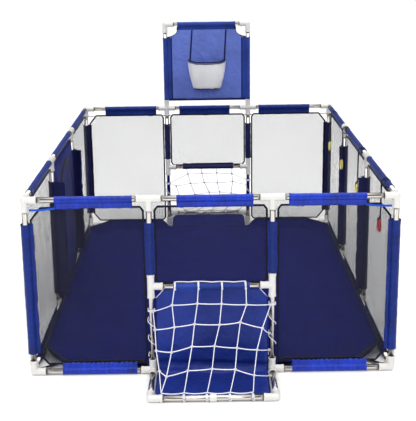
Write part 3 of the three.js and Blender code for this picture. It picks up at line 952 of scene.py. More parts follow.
def corner_loops(panel):
    """A strap from each upper corner of a panel, round the leg of the connector beside it."""
    bay, loops = panel.bay, []
    up = panel.top - 0.003
    for end in (0, 1):
        post, way = (0.0, 1) if end == 0 else (bay.width, -1)
        corner = panel.sides(up)[end]
        path = [bay.at(corner + way * 0.004, up, SEWN_IN)]
        path += [bay.at(post + way * LOOP_R * math.cos(a), up, LOOP_R * math.sin(a))
                 for a in np.linspace(0.9, 2 * math.pi - 0.9, 20)]
        path.append(bay.at(corner + way * 0.004, up, SEWN_IN - 0.003))
        loops.append(tape("loop", path, 0.0050, 0.0012, closed=False))
    return loops


panels, piping = {}, []
DOOR_BAY = BAYS["left"][1]
for wall, bays in BAYS.items():
    for i, bay in enumerate(bays):
        if bay is DOOR_BAY:
            continue
        cuts = (CORNER_CUT if i == 0 else POST_CUT, CORNER_CUT if i == 2 else POST_CUT)
        panel = Panel(bay, cuts, seed=len(panels) * 3 + 1, loose=1.0 if wall in slides else 1.9)
        panels[bay.name] = panel
        cloth = panel.cloth(f"{bay.name}_mesh", 0.016)
        thicken(cloth, 0.0006)
        hand_over(cloth, wall_mesh)
        piping.append(tape(f"{bay.name}_piping", panel.outline(), up=bay.inward))
        if wall == "back":
            piping += corner_loops(panel)
hand_over(join("wall_piping", piping), binding_black)
corner_straps = []
for sx in SIDES:
    line = [(sx * (WALL_X - 0.016 - 0.088 * k / 12), -WALL_Y - 0.0016,
             TOP_Z - 0.029 - 0.006 * (1 - k / 12) - 0.002 * math.sin(math.pi * k / 12)) for k in range(13)]
    corner_straps.append(tape("strap", line, 0.0075, 0.0014, up=SOUTH, closed=False))
hand_over(join("corner_straps", corner_straps), strap_blue)
print(len(panels), "mesh panels hung")

# %% [markdown]
# ## The zipped door
# The middle bay of the left wall is solid cloth with an arched door in it. The cloth
# is drawn as rings between the bay's outline and the arch, which leaves a clean hole.
# The flap is its own piece, because it folds down on its lower edge.

# %% Door bay
door_low, door_high = box("door_flap")
DOOR_HALF = (door_high[1] - door_low[1]) / 2
DOOR_LOW = door_low[2]
DOOR_SPRING = door_high[2] - DOOR_HALF
DOOR_DEPTH = WALL_X + door_low[0]
DOOR_SIDE_STEPS, DOOR_ARCH_STEPS, DOOR_SILL_STEPS = 16, 34, 22
wall_blue = woven("wall_blue", solid_colour(0.06, 0.11, 0.41), rough=0.6, gloss=0.08)


def arch(grow=0.0, low=DOOR_LOW, sill=False):
    """The door's outline in the bay: up one leg, over the arch and down the other."""
    half = DOOR_HALF + grow
    path = [(half, low + (DOOR_SPRING - low) * k / DOOR_SIDE_STEPS) for k in range(DOOR_SIDE_STEPS)]
    path += [(half * math.cos(math.pi * k / DOOR_ARCH_STEPS),
              DOOR_SPRING + half * math.sin(math.pi * k / DOOR_ARCH_STEPS))
             for k in range(DOOR_ARCH_STEPS + 1)]
    path += [(-half, DOOR_SPRING + (low - DOOR_SPRING) * (k + 1) / DOOR_SIDE_STEPS)
             for k in range(DOOR_SIDE_STEPS)]
    if sill:
        path += [(-half + 2 * half * (k + 1) / DOOR_SILL_STEPS, low) for k in range(DOOR_SILL_STEPS - 1)]
    return [(DOOR_BAY.width / 2 + y, up) for y, up in path]


door_panel = Panel(DOOR_BAY, belly=DOOR_DEPTH - SEWN_IN)
inner = arch(0.0008, DOOR_LOW - 0.0008, sill=True)
centre = (DOOR_BAY.width / 2, (DOOR_LOW + DOOR_SPRING + DOOR_HALF) / 2)
corners = door_panel.marks()


def outward_hit(place):
    """Where the line from the middle of the bay through place meets its outline."""
    dx, dy = place[0] - centre[0], place[1] - centre[1]
    best = None
    for (ax, ay), (bx, by) in zip(corners, corners[1:] + corners[:1]):
        ex, ey = bx - ax, by - ay
        cross = dx * ey - dy * ex
        if abs(cross) < 1e-12:
            continue
        t = ((ax - centre[0]) * ey - (ay - centre[1]) * ex) / cross
        s = ((ax - centre[0]) * dy - (ay - centre[1]) * dx) / cross
        if t > 0 and -1e-9 <= s <= 1 + 1e-9 and (best is None or t < best[0]):
            best = (t, (ax + ex * s, ay + ey * s))
    return best[1]


RINGS = 9
rows, uv = [], []
outer = [outward_hit(p) for p in inner]
for k in range(RINGS + 1):
    f = k / RINGS
    row = []
    for (ax, ay), (bx, by) in zip(inner, outer):
        x, up = ax + (bx - ax) * f, ay + (by - ay) * f
        fold = 0.0030 * ripple(x * 9, up * 9, 4) * math.sin(math.pi * f)
        depth = DOOR_DEPTH + (SEWN_IN - DOOR_DEPTH) * f ** 3 + fold
        row.append(DOOR_BAY.at(x, up, depth))
        uv.append((x, up))
    rows.append(row)
bay_cloth = cloth_of("door_bay_cloth", rows, uv, wrap=True)
thicken(bay_cloth, 0.0009)
hand_over(bay_cloth, wall_blue)
piping_door = tape("door_bay_piping", door_panel.outline(), up=DOOR_BAY.inward)
hand_over(piping_door, binding_black)

levels = [DOOR_LOW + (DOOR_SPRING - DOOR_LOW) * k / 16 for k in range(16)]
levels += [DOOR_SPRING + DOOR_HALF * math.sin(math.pi / 2 * k / 18) for k in range(19)]
rows, uv = [], []
for up in levels:
    rise = max(0.0, up - DOOR_SPRING)
    half = max(0.004, math.sqrt(max(0.0, DOOR_HALF ** 2 - rise ** 2))) - 0.0008
    row = []
    for k in range(25):
        y = -half + 2 * half * k / 24
        x = DOOR_BAY.width / 2 + y
        calm = min(1.0, (up - DOOR_LOW) / 0.05) * min(1.0, (half - abs(y)) / 0.03)
        row.append(DOOR_BAY.at(x, up, DOOR_DEPTH + calm * 0.0035 * ripple(y * 8, up * 7, 11)))
        uv.append((x, up))
    rows.append(row)
flap = cloth_of("door_flap_cloth", rows, uv)
thicken(flap, 0.0009)
hand_over(flap, wall_blue, body="door", replaces=["door_flap"])
print("door cut and hung")

# %% [markdown]
# ## Geometry Nodes for what repeats
# Teeth, stitches and knots sit at an even pitch along a line. One tree walks along a
# line, turns a small part to follow it and turns its flat side to a given direction.
# Its inputs are the pitch and the part's size. The result becomes a plain mesh.

# %% A row of small parts
def small_parts_tree(name, look, kind):
    tree = bpy.data.node_groups.new(name, "GeometryNodeTree")
    face = tree.interface
    face.new_socket("Geometry", in_out="INPUT", socket_type="NodeSocketGeometry")
    face.new_socket("Pitch", in_out="INPUT", socket_type="NodeSocketFloat")
    face.new_socket("Size", in_out="INPUT", socket_type="NodeSocketVector")
    face.new_socket("Facing", in_out="INPUT", socket_type="NodeSocketVector")
    face.new_socket("Geometry", in_out="OUTPUT", socket_type="NodeSocketGeometry")
    way_in, way_out = tree.nodes.new("NodeGroupInput"), tree.nodes.new("NodeGroupOutput")
    link = tree.links.new
    curve = tree.nodes.new("GeometryNodeMeshToCurve")
    link(way_in.outputs["Geometry"], curve.inputs["Mesh"])
    even = tree.nodes.new("GeometryNodeResampleCurve")
    even.mode = "LENGTH"
    link(curve.outputs["Curve"], even.inputs["Curve"])
    link(way_in.outputs["Pitch"], even.inputs["Length"])
    tangent = tree.nodes.new("GeometryNodeInputTangent")
    forward = tree.nodes.new("FunctionNodeAlignRotationToVector")
    forward.axis = "X"
    link(tangent.outputs["Tangent"], forward.inputs["Vector"])
    upright = tree.nodes.new("FunctionNodeAlignRotationToVector")
    upright.axis, upright.pivot_axis = "Z", "X"
    link(forward.outputs["Rotation"], upright.inputs["Rotation"])
    link(way_in.outputs["Facing"], upright.inputs["Vector"])
    if kind == "knot":
        turn = tree.nodes.new("GeometryNodeCurvePrimitiveCircle")
        turn.inputs["Resolution"].default_value = 12
        turn.inputs["Radius"].default_value = 0.55
        round_rope = tree.nodes.new("GeometryNodeCurvePrimitiveCircle")
        round_rope.inputs["Resolution"].default_value = 6
        round_rope.inputs["Radius"].default_value = 0.42
        part = tree.nodes.new("GeometryNodeCurveToMesh")
        link(turn.outputs["Curve"], part.inputs["Curve"])
        link(round_rope.outputs["Curve"], part.inputs["Profile Curve"])
    elif kind == "tooth":
        part = tree.nodes.new("GeometryNodeMeshCube")
    else:
        part = tree.nodes.new("GeometryNodeMeshIcoSphere")
        part.inputs["Radius"].default_value = 0.5
        part.inputs["Subdivisions"].default_value = 1
    spread = tree.nodes.new("GeometryNodeInstanceOnPoints")
    link(even.outputs["Curve"], spread.inputs["Points"])
    link(part.outputs["Mesh"], spread.inputs["Instance"])
    link(upright.outputs["Rotation"], spread.inputs["Rotation"])
    link(way_in.outputs["Size"], spread.inputs["Scale"])
    real = tree.nodes.new("GeometryNodeRealizeInstances")
    link(spread.outputs["Instances"], real.inputs["Geometry"])
    dress = tree.nodes.new("GeometryNodeSetMaterial")
    dress.inputs["Material"].default_value = look
    link(real.outputs["Geometry"], dress.inputs["Geometry"])
    link(dress.outputs["Geometry"], way_out.inputs["Geometry"])
    return tree


def grown(name, tree, lines, pitch, size, facing):
    """Runs the tree along lines of points and keeps the result as a plain mesh."""
    points, edges = [], []
    for line in lines:
        start = len(points)
        points += [tuple(p) for p in line]
        edges += [(start + k, start + k + 1) for k in range(len(line) - 1)]
    data = bpy.data.meshes.new(name)
    data.from_pydata(points, edges, [])
    guide = placed(name, data)
    row = guide.modifiers.new("row", "NODES")
    row.node_group = tree
    values = {"Pitch": pitch, "Size": size, "Facing": facing}
    for item in tree.interface.items_tree:
        if item.in_out == "INPUT" and item.name in values:
            row[item.identifier] = values[item.name]
    bpy.context.view_layer.update()
    result = bpy.data.meshes.new_from_object(guide.evaluated_get(bpy.context.evaluated_depsgraph_get()))
    guide.modifiers.clear()
    guide.data = result
    return guide


print("small parts can be grown")

# %% [markdown]
# The zip follows the arch: a black tape on the wall, another on the flap, and a row
# of teeth on each that mesh with the other's. Half of it stays and half folds down
# with the door. The slider runs up and down the straight part of one leg.

# %% Zip
ZIP_TAPE, ZIP_TAPE_THICK, TOOTH_PITCH = 0.013, 0.0030, 0.0040
zip_tree = small_parts_tree("zip_teeth", zip_black, "tooth")
zip_out = DOOR_DEPTH - 0.0016


def zip_half(name, grow, body, shift):
    line = [DOOR_BAY.at(x, up, DOOR_DEPTH) for x, up in arch(grow * (ZIP_TAPE / 2 + 0.0014))]
    band = tape(f"{name}_tape", line, ZIP_TAPE, ZIP_TAPE_THICK, up=DOOR_BAY.inward, closed=False)
    hand_over(band, binding_black, body=body)
    teeth_line = [DOOR_BAY.at(x, up + shift, zip_out - 0.0007) for x, up in arch(grow * 0.0016)]
    teeth = grown(f"{name}_teeth", zip_tree, [teeth_line], TOOTH_PITCH, (0.0018, 0.0034, 0.0018),
                  tuple(DOOR_BAY.inward))
    hand_over(teeth, zip_black, body=body)


zip_half("zip_wall_side", 1, "frame", 0.0)
zip_half("zip_door_side", -1, "door", TOOTH_PITCH / 2)

slider_low, slider_high = box("zip_slider")
slider_y = (slider_low[1] + slider_high[1]) / 2
tab_low, tab_high = slider_low[2], slider_low[2] + 0.028
body_low, body_high = slider_high[2] - 0.016, slider_high[2]


def rounded_block(name, low, high, width=0.0012, segments=3):
    tool = bmesh.new()
    bmesh.ops.create_cube(tool, size=1.0)
    low, high = Vector(low), Vector(high)
    for v in tool.verts:
        v.co = (low + high) / 2 + Vector([c * d for c, d in zip(v.co, high - low)])
    bmesh.ops.bevel(tool, geom=list(tool.edges), offset=width, segments=segments, affect="EDGES", profile=0.6)
    data = bpy.data.meshes.new(name)
    tool.to_mesh(data)
    tool.free()
    data.polygons.foreach_set("use_smooth", [True] * len(data.polygons))
    return placed(name, data)


slider = join("zip_slider_and_tab", [
    rounded_block("slider_body", (slider_high[0] - 0.0040, slider_low[1], body_low),
                  (slider_high[0], slider_high[1], body_high)),
    rounded_block("slider_bridge", (slider_high[0] - 0.0052, slider_y - 0.0015, body_low + 0.003),
                  (slider_high[0] - 0.003, slider_y + 0.0015, body_high - 0.003), 0.0007),
    rounded_block("slider_tab", (slider_low[0] + 0.0002, slider_y - 0.0034, tab_low),
                  (slider_low[0] + 0.0018, slider_y + 0.0034, tab_high), 0.0006),
])
hand_over(slider, zip_black, body="zip", replaces=["zip_slider"])
print("zip closed along", round(2 * (DOOR_SPRING - DOOR_LOW) + math.pi * DOOR_HALF, 2), "m")

# %% [markdown]
# ## The floor mat
# One padded sheet of dark cloth lies loose inside the posts, with its corners cut off.
# A sheet on a floor is never flat, so it rises and falls by a few millimetres in
# long, slow folds. Black tape binds its edge.

# %% Floor mat
mat_low, mat_high = box("floor_mat")
MAT_X, MAT_Y = mat_high[0], mat_high[1]
MAT_CUT_X, MAT_CUT_Y = 0.100, 0.135
MAT_CLOTH = 0.0022
CURL, CURL_WIDTH = 0.040, 0.032


def mat_half(y):
    return MAT_X - MAT_CUT_X * max(0.0, 1 - (MAT_Y - abs(y)) / MAT_CUT_Y)


def edge_curl(x, y):
    """The mat's edge climbs the flanges of the base sleeves, except at the goal mouths."""
    at_side = 1 - (mat_half(y) - abs(x)) / CURL_WIDTH
    at_end = (1 - (MAT_Y - abs(y)) / CURL_WIDTH) * min(1.0, max(0.0, abs(x) - GOAL_X) / 0.03)
    return CURL * max(0.0, min(1.0, max(at_side, at_end))) ** 1.5


def mat_height(x, y):
    slow = 0.0040 * (0.5 + 0.5 * ripple(x * 3.1, y * 2.3, 21)) + 0.0030 * abs(ripple(x * 1.3 + 9, y * 6.5,
            23))
    return mat_low[2] + MAT_CLOTH / 2 + 0.0008 + max(0.0, slow) + edge_curl(x, y)


def crowded(half, step, edge=CURL_WIDTH, fine=0.005):
    """Places from -half to half, closer together near both ends."""
    inner = np.linspace(-half + edge, half - edge, round(2 * (half - edge) / step) + 1)
    near = np.arange(0, edge - fine / 2, fine)
    return np.concatenate([-half + near, inner, (half - near)[::-1]])


mat_levels = crowded(MAT_Y, 0.022)
across = crowded(1.0, 0.035, CURL_WIDTH / MAT_X, 0.005 / MAT_X)
rows, uv = [], []
for y in mat_levels:
    half = mat_half(y)
    row = [(x, y, mat_height(x, y)) for x in across * half]
    rows.append(row)
    uv += [(p[0], p[1]) for p in row]
mat = cloth_of("floor_mat_cloth", rows, uv)
thicken(mat, MAT_CLOTH)
hand_over(mat, mat_navy, replaces=["floor_mat"])


def round_trip(marks, step=0.02):
    path = []
    for a, b in zip(marks, marks[1:] + marks[:1]):
        n = max(2, round(math.dist(a, b) / step))
        path += [(a[0] + (b[0] - a[0]) * k / n, a[1] + (b[1] - a[1]) * k / n) for k in range(n)]
    return path


mat_marks = [(-MAT_X + MAT_CUT_X, -MAT_Y), (MAT_X - MAT_CUT_X, -MAT_Y), (MAT_X, -MAT_Y + MAT_CUT_Y),
             (MAT_X, MAT_Y - MAT_CUT_Y),
             (MAT_X - MAT_CUT_X, MAT_Y), (-MAT_X + MAT_CUT_X, MAT_Y), (-MAT_X, MAT_Y - MAT_CUT_Y),
             (-MAT_X, -MAT_Y + MAT_CUT_Y)]
mat_edge = [(x, y, mat_height(x, y) + 0.0006) for x, y in round_trip(mat_marks)]
hand_over(tape("mat_binding", mat_edge, 0.010, 0.0032), binding_black)
straps = []
for sx in SIDES:
    for sy in SIDES:
        a = Vector((sx * (MAT_X - MAT_CUT_X / 2), sy * (MAT_Y - MAT_CUT_Y / 2), 0.006))
        b = Vector((sx * (WALL_X - 0.014), sy * (WALL_Y - 0.014), BASE_Z + 0.004))
        line = [a.lerp(b, k / 12) - Vector((0, 0, 0.002 * math.sin(math.pi * k / 12))) for k in range(13)]
        straps.append(tape("strap", line, 0.016, 0.0014, closed=False))
hand_over(join("mat_corner_straps", straps), binding_black)
print("mat laid")

# %% [markdown]
# ## Goal cloths
# The front goal is closed by a cloth that is sewn round the crossbar, hangs to the
# floor and runs out under the net to the floor bar. The back goal is open and has
# only the floor part. Both are drawn as rows along that path, with folds that run
# down the hanging part and across the tongue.

# %% Goal cloths
CLOTH_HALF = box("front_goal_cloth")[1][0]
POCKET_HALF, CUT_HALF = 0.132, 0.166
BAR_END = GOAL_Y - SOCKET_R - 0.004
GOAL_CLOTH = 0.0010


def goal_rows(name, path, half_at, fold_at, sy):
    """path is a smooth line in (outward, up) from the crossbar to the floor bar."""
    pts = [Vector((0, out, up)) for out, up in path]
    run = [0.0]
    for a, b in zip(pts, pts[1:]):
        run.append(run[-1] + (b - a).length)
    rows, uv = [], []
    for i, p in enumerate(pts):
        before, after = pts[max(0, i - 1)], pts[min(len(pts) - 1, i + 1)]
        way = (after - before).normalized()
        normal = Vector((0, -way.z, way.y))
        half = half_at(run[i], run[-1])
        row = []
        for k in range(41):
            u = -1 + 2 * k / 40
            x = u * half
            fold = fold_at(x, run[i], run[-1])
            place = p + normal * fold
            row.append((x, sy * (WALL_Y + place.y), max(place.z, GOAL_CLOTH)))
            uv.append((x, run[i]))
        rows.append(row)
    piece = cloth_of(name, rows, uv)
    thicken(piece, GOAL_CLOTH)
    return piece, run[-1], np.array(rows)


def front_half(s, total):
    corner = min(1.0, s / 0.030)
    end = min(1.0, max(0.0, (total - s) / 0.035))
    return (CUT_HALF + (CLOTH_HALF - CUT_HALF) * corner) * (0.90 + 0.10 * end ** 0.5)


def front_fold(x, s, total):
    soft = min(1.0, s / 0.03) * min(1.0, (total - s) / 0.02 + 0.2)
    hang = 0.0080 * ripple(x * 13, s * 4.0, 31) + 0.0040 * ripple(x * 30 + s * 12, s * 11, 33)
    crease = 0.0035 * math.exp(-((s - 0.30 - 0.05 * x) / 0.010) ** 2)
    pleat = 0.0045 * (1 - math.tanh((s - 0.268 - 0.006 * math.sin(9 * x)) / 0.0035))
    return soft * (hang + crease) + min(1.0, s / 0.12) * pleat


crossbar_low = CROSS_Z - SLEEVE_R
tongue_far = BAR_END - WALL_Y
front_path = [(0, crossbar_low + 0.001), (0.001, 0.26), (0.002, 0.19), (0.003, 0.12), (0.002, 0.060),
              (0.004, 0.028),
              (0.016, 0.009), (0.045, 0.0065), (0.10, 0.0070), (0.16, 0.0065), (tongue_far, 0.0075)]
front_curve = [(p.y, p.z) for p in smooth_path([(0, a, b) for a, b in front_path], 6)]
front_cloth, run, front_rows = goal_rows("front_goal_cloth_sheet", front_curve, front_half, front_fold, -1)
hand_over(front_cloth, goal_blue, replaces=["front_goal_cloth"])
bar_front = ((-POCKET_HALF, -WALL_Y, CROSS_Z), (POCKET_HALF, -WALL_Y, CROSS_Z), [(DOWN, 0.018)])
sewn_sleeves("front_crossbar_sleeve", [bar_front], band_blue)


def tongue_half(s, total):
    end = min(1.0, max(0.0, (total - s) / 0.05))
    return CLOTH_HALF * (0.80 + 0.20 * math.sqrt(1 - (1 - end) ** 2))


def tongue_fold(x, s, total):
    return 0.0035 * abs(ripple(x * 12, s * 9, 41)) + 0.002 * abs(ripple(x * 30, s * 20, 43))


back_path = [(-0.015 + (tongue_far + 0.015) * k / 24, 0.0045) for k in range(25)]
back_cloth, run, back_rows = goal_rows("back_goal_cloth_sheet", back_path, tongue_half, tongue_fold, 1)
hand_over(back_cloth, mat_navy, replaces=["back_goal_cloth"])
HEM_R = 0.0016
hem_ropes = []
for rows_of in (front_rows, back_rows):
    edge = [tuple(p) for p in (*rows_of[:, 0], *rows_of[-1, 1:-1], *rows_of[::-1, -1])]
    hem_ropes.append(sweep("hem", edge, round_section(HEM_R, 6)))
hand_over(join("goal_cloth_hems", hem_ropes), binding_navy)
corner_cords = [sweep("cord",
                      [(sx * (CUT_HALF + (CLOTH_HALF - CUT_HALF) * k / 6), -WALL_Y - 0.003,
                        crossbar_low - 0.030 * k / 6)
                               for k in range(7)], round_section(0.0012, 6)) for sx in SIDES]
hand_over(join("goal_corner_cords", corner_cords), rope_white)
print("goal cloths hung")

# %% [markdown]
# ## Goal nets
# White braided rope is knotted into squares, tied to the crossbar above and to the
# floor bar in front. The upper corners are held by the posts, the rest hangs free, so
# the sides draw in and every strand sags a little between its knots.

# %% Net shape
NET_ROWS, NET_COLUMNS = 6, 6
ROPE_R = 0.0018
ROPE = round_section(ROPE_R, 6)
head_z = CROSS_Z + SOCKET_R + 0.001
foot_z = BASE_Z + SOCKET_R + 0.003
NET_HEAD, NET_FOOT = WALL_Y + 0.0185, -box("front_goal_net")[0][1] - ROPE_R


DRAWN = {(1, 1): 0.007, (1, 4): -0.0035, (2, 1): 0.005, (2, 2): 0.007, (2, 4): 0.0035, (2, 5): 0.007,
         (3, 1): 0.0155,
         (3, 2): 0.021, (3, 3): 0.009, (3, 4): 0.0035, (3, 5): 0.014, (4, 0): -0.010, (4, 1): 0.034,
         (4, 2): 0.032,
         (4, 3): 0.014, (4, 4): 0.005, (4, 5): 0.005}
LOWERED = {(1, 0): 0.034, (1, 5): 0.016, (2, 4): -0.015, (3, 1): 0.010, (4, 1): 0.024, (4, 5): 0.015}


def net_node(sy, i, j):
    t = i / (NET_ROWS - 1)
    lean = sy * (0.004 + 0.016 * min(1.0, 1.3 * t))
    half = 0.157 + 0.046 * (1 - t) + 0.008 * (i == 1)
    middle = (NET_COLUMNS - 1) / 2
    share = (j - middle) / middle
    if i == NET_ROWS - 1:
        share, half = (max(j - 1, 0) - 2) / 2, 0.153
    x = lean + half * share
    free = math.sin(math.pi * t)
    x += 0.010 * ripple(i * 1.7, j * 1.3, 51 + sy) * free
    x += sy * DRAWN.get((i, j), 0.0)
    z = head_z + (foot_z - head_z) * t - 0.014 * free * abs(share) ** 2 + 0.012 * ripple(i * 1.1 + 4,
            j * 2.1, 53 + sy) * free
    z -= LOWERED.get((i, j), 0.0)
    out = NET_HEAD + (NET_FOOT - NET_HEAD) * t - 0.010 * free
    return Vector((x, sy * out, z))


def hanging(a, b, slack, steps=5):
    out = []
    for k in range(steps):
        t = k / steps
        p = a.lerp(b, t)
        p.z -= slack * 4 * t * (1 - t)
        out.append(p)
    return out


def strand(nodes, slack):
    path = []
    for k, (a, b) in enumerate(zip(nodes, nodes[1:])):
        path += hanging(a, b, slack * (0.6 + 0.8 * abs(ripple(a.x * 31, b.z * 17, k))))
    return path + [nodes[-1]]


def coil(centre, axis, radius, turns, advance, start=0.0, per_turn=12):
    axis = Vector(axis).normalized()
    side = axis.orthogonal().normalized()
    lift = axis.cross(side)
    n = round(turns * per_turn)
    return [Vector(centre) + axis * (advance * k / n) + side * (radius * math.cos(start + 2 * math.pi * k / per_turn))
            + lift * (radius * math.sin(start + 2 * math.pi * k / per_turn)) for k in range(n + 1)]


knot_tree = small_parts_tree("net_knots", rope_white, "knot")
for sy in SIDES:
    end = END_NAME[sy]
    ropes, knots = [], []
    net = [[net_node(sy, i, j) for j in range(NET_COLUMNS)] for i in range(NET_ROWS)]
    post_ties = [Vector((sx * (GOAL_X - TUBE_R * 0.6), sy * (WALL_Y + TUBE_R + ROPE_R),
                         net[1][0 if sx < 0 else -1].z)) for sx in SIDES]
    for i in range(1, NET_ROWS - 1):
        nodes = list(net[i])
        if i == 1:
            nodes = [post_ties[0]] + nodes[1:-1] + [post_ties[1]]
            net[1][0], net[1][-1] = post_ties
        if i > 1:
            post = sy * -(GOAL_X - TUBE_R - ROPE_R)
            reach = {2: 0.012, 3: 0.012, 4: 0.090}[i]
            held = Vector((post, sy * (WALL_Y + reach), max(BASE_Z + TUBE_R + ROPE_R, nodes[-1].z - 0.052)))
            nodes = nodes + [held] if sy < 0 else [held] + nodes
        path = strand(nodes, 0.0020)
        ropes.append(sweep("row", path, ROPE))
        knots += [(p, (p[0] + 0.0001, p[1], p[2])) for p in map(tuple, nodes)]
    for j in range(NET_COLUMNS):
        first = 0 if 0 < j < NET_COLUMNS - 1 else 1
        nodes = [net[i][j] for i in range(first, NET_ROWS)]
        path = strand(nodes, 0.0015)
        ropes.append(sweep("column", path, ROPE, (1, 0, 0)))
        if first == 0 and sy < 0:
            top = net[0][j]
            around = SOCKET_R + ROPE_R if abs(top.x) > POCKET_HALF else SLEEVE_R + SLEEVE_CLOTH + ROPE_R
            ropes.append(sweep("tie", coil((top.x - 0.003, sy * WALL_Y, CROSS_Z), EAST, around, 1.9, 0.006),
                               ROPE, UP))
        foot = net[-1][j]
        ropes.append(sweep("tie",
                           coil((foot.x - 0.004, sy * GOAL_Y, BASE_Z), EAST, TUBE_R + ROPE_R + 0.0004, 1.9,
                                0.008), ROPE, UP))
    ropes.append(sweep("foot_row", strand(net[-1][1:], 0.006), ROPE))
    along_bar = [Vector((x, sy * (WALL_Y + 0.004 + 0.003 * math.sin(23 * x)),
                         CROSS_Z + SLEEVE_R + ROPE_R + 0.0012 + 0.002 * abs(math.sin(40 * x))))
                 for x in np.linspace(net[0][1].x, net[0][-2].x, 40)]
    ropes.append(sweep("bar_rope", along_bar, ROPE))
    for sx in SIDES:
        tie = post_ties[0 if sx < 0 else 1]
        ropes.append(sweep("tie",
                           coil((sx * GOAL_X, sy * WALL_Y, tie.z - 0.004), UP, TUBE_R + ROPE_R + 0.0004, 2.4,
                                0.010), ROPE, NORTH))
        wrap_r = TUBE_R + ROPE_R + 0.0016
        wrap = [Vector((sx * GOAL_X, sy * WALL_Y, 0)) + Vector((wrap_r * math.cos(a), wrap_r * math.sin(a),
                z))
                for a, z in zip(np.linspace(0.4, 0.4 + 5 * math.pi, 80),
                                np.linspace(tie.z - 0.006, BASE_Z + ARM + 0.012, 80))]
        ropes.append(sweep("wrap", wrap, round_section(ROPE_R * 0.8, 6), NORTH))
    whole = outward(join(f"{end}_net_rope", ropes))
    ties = grown(f"{end}_net_knots", knot_tree, knots, 1.0, (0.0062, 0.0050, 0.0056), (0, sy, 0.4))
    hand_over(ties, rope_white)
    hand_over(whole, rope_white, replaces=[f"{end}_goal_net"])
print("nets tied with", NET_ROWS * NET_COLUMNS, "knots each")

# %% [markdown]
# ## The hoop board
# Its cloth is stretched between sleeves on the board's two legs and its top tube. The
# upper corners are scooped out and bound. A small basket of white mesh hangs on it,
# held open by a rim band, with two webbing straps from the top.

# %% Board cloth
board_low, board_high = box("board_cloth")
BOARD_HALF, BOARD_FOOT = board_high[0], board_low[2]
LEG_FLANGE_END = GOAL_X - 0.032
SCOOP_X, SCOOP_Z = 0.147, TOP_Z + 0.360
SCOOP_RISE = (board_high[2] - SCOOP_Z) * 0.45
BOARD_NEAR, BOARD_FAR = 0.0045, 0.0105


def scoop_half_at(up):
    lift = min(1.0, max(0.0, (up - SCOOP_Z) / SCOOP_RISE))
    return BOARD_HALF - (BOARD_HALF - SCOOP_X) * math.sqrt(1 - (1 - lift) ** 2)


def board_half_at(up):
    return min(LEG_FLANGE_END + 0.002, scoop_half_at(up))


def board_y(x, up):
    u, v = min(1.0, abs(x) / LEG_FLANGE_END), (up - BOARD_FOOT) / (BOARD_Z - BOARD_FOOT)
    bulge = max(0.0, 1 - u * u) ** 0.6 * math.sin(math.pi * min(1.0, max(0.0, v))) ** 0.5
    fold = 0.0026 * ripple(x * 11, up * 8, 61) + 0.0030 * ripple((x + up) * 24, (x - up) * 5, 63)
    return WALL_Y - BOARD_NEAR - (BOARD_FAR - BOARD_NEAR) * bulge - fold * bulge


BAND_LOW = BOARD_Z - 0.034
CLOTH_TOP = BOARD_Z - 0.027
levels = np.concatenate([np.linspace(BOARD_FOOT, SCOOP_Z, 34)[:-1],
                         np.linspace(SCOOP_Z, SCOOP_Z + SCOOP_RISE, 10)[:-1],
                         np.linspace(SCOOP_Z + SCOOP_RISE, CLOTH_TOP, 4)])
rows, uv = [], []
for up in levels:
    half = board_half_at(up)
    row = [(x, board_y(x, up), up) for x in np.linspace(-half, half, 41)]
    rows.append(row)
    uv += [(p[0], p[2]) for p in row]
board = cloth_of("board_cloth_sheet", rows, uv)
thicken(board, 0.0010)
hand_over(board, board_blue, replaces=["board_cloth"])
leg_bands = [((sx * GOAL_X, WALL_Y, BOARD_FOOT), (sx * GOAL_X, WALL_Y, SCOOP_Z), [((-sx, 0, 0), 0.033)])
             for sx in SIDES]
sewn_sleeves("board_leg_bands", leg_bands, band_blue)
sewn_sleeves("board_top_band", [((-SCOOP_X, WALL_Y, BOARD_Z), (SCOOP_X, WALL_Y, BOARD_Z), [(DOWN, 0.029)])],
             band_blue)

binding = []
for sx in SIDES:
    line = [(sx * scoop_half_at(up), WALL_Y - BOARD_NEAR, up)
            for up in SCOOP_Z + SCOOP_RISE * np.linspace(0, 1, 18) ** 2]
    line += [(sx * SCOOP_X, WALL_Y - BOARD_NEAR, up)
             for up in np.linspace(SCOOP_Z + SCOOP_RISE, BOARD_Z - SLEEVE_R, 5)[1:]]
    binding.append(tape("scoop", line, 0.007, 0.0024, up=SOUTH, closed=False))
hem = [(x, board_y(x, BOARD_FOOT), BOARD_FOOT) for x in np.linspace(-GOAL_X + 0.012, GOAL_X - 0.012, 30)]
binding.append(tape("hem", hem, 0.012, 0.0024, up=SOUTH, closed=False))
for sx in SIDES:
    line = [(sx * LEG_FLANGE_END, board_y(LEG_FLANGE_END, up) - 0.0008, up)
            for up in np.linspace(BOARD_FOOT, SCOOP_Z + 0.01, 24)]
    binding.append(tape("seam", line, 0.004, 0.0012, up=SOUTH, closed=False))
hand_over(join("board_binding", binding), binding_navy)

print("board cloth stretched")

# %% [markdown]
# The basket is a half cup of white net with a taped rim, open to the board at its
# back. It is drawn as rows from rim to foot that narrow on the way down, and its
# foot is closed by rows that run back to the board.

# %% Basket
basket_low, basket_high = box("hoop_basket")
BACK_Y = basket_high[1]
RIM_HALF, RIM_REACH = basket_high[0], BACK_Y - basket_low[1]
FOOT_SHARE_X, FOOT_SHARE_Y = 0.70, 0.65


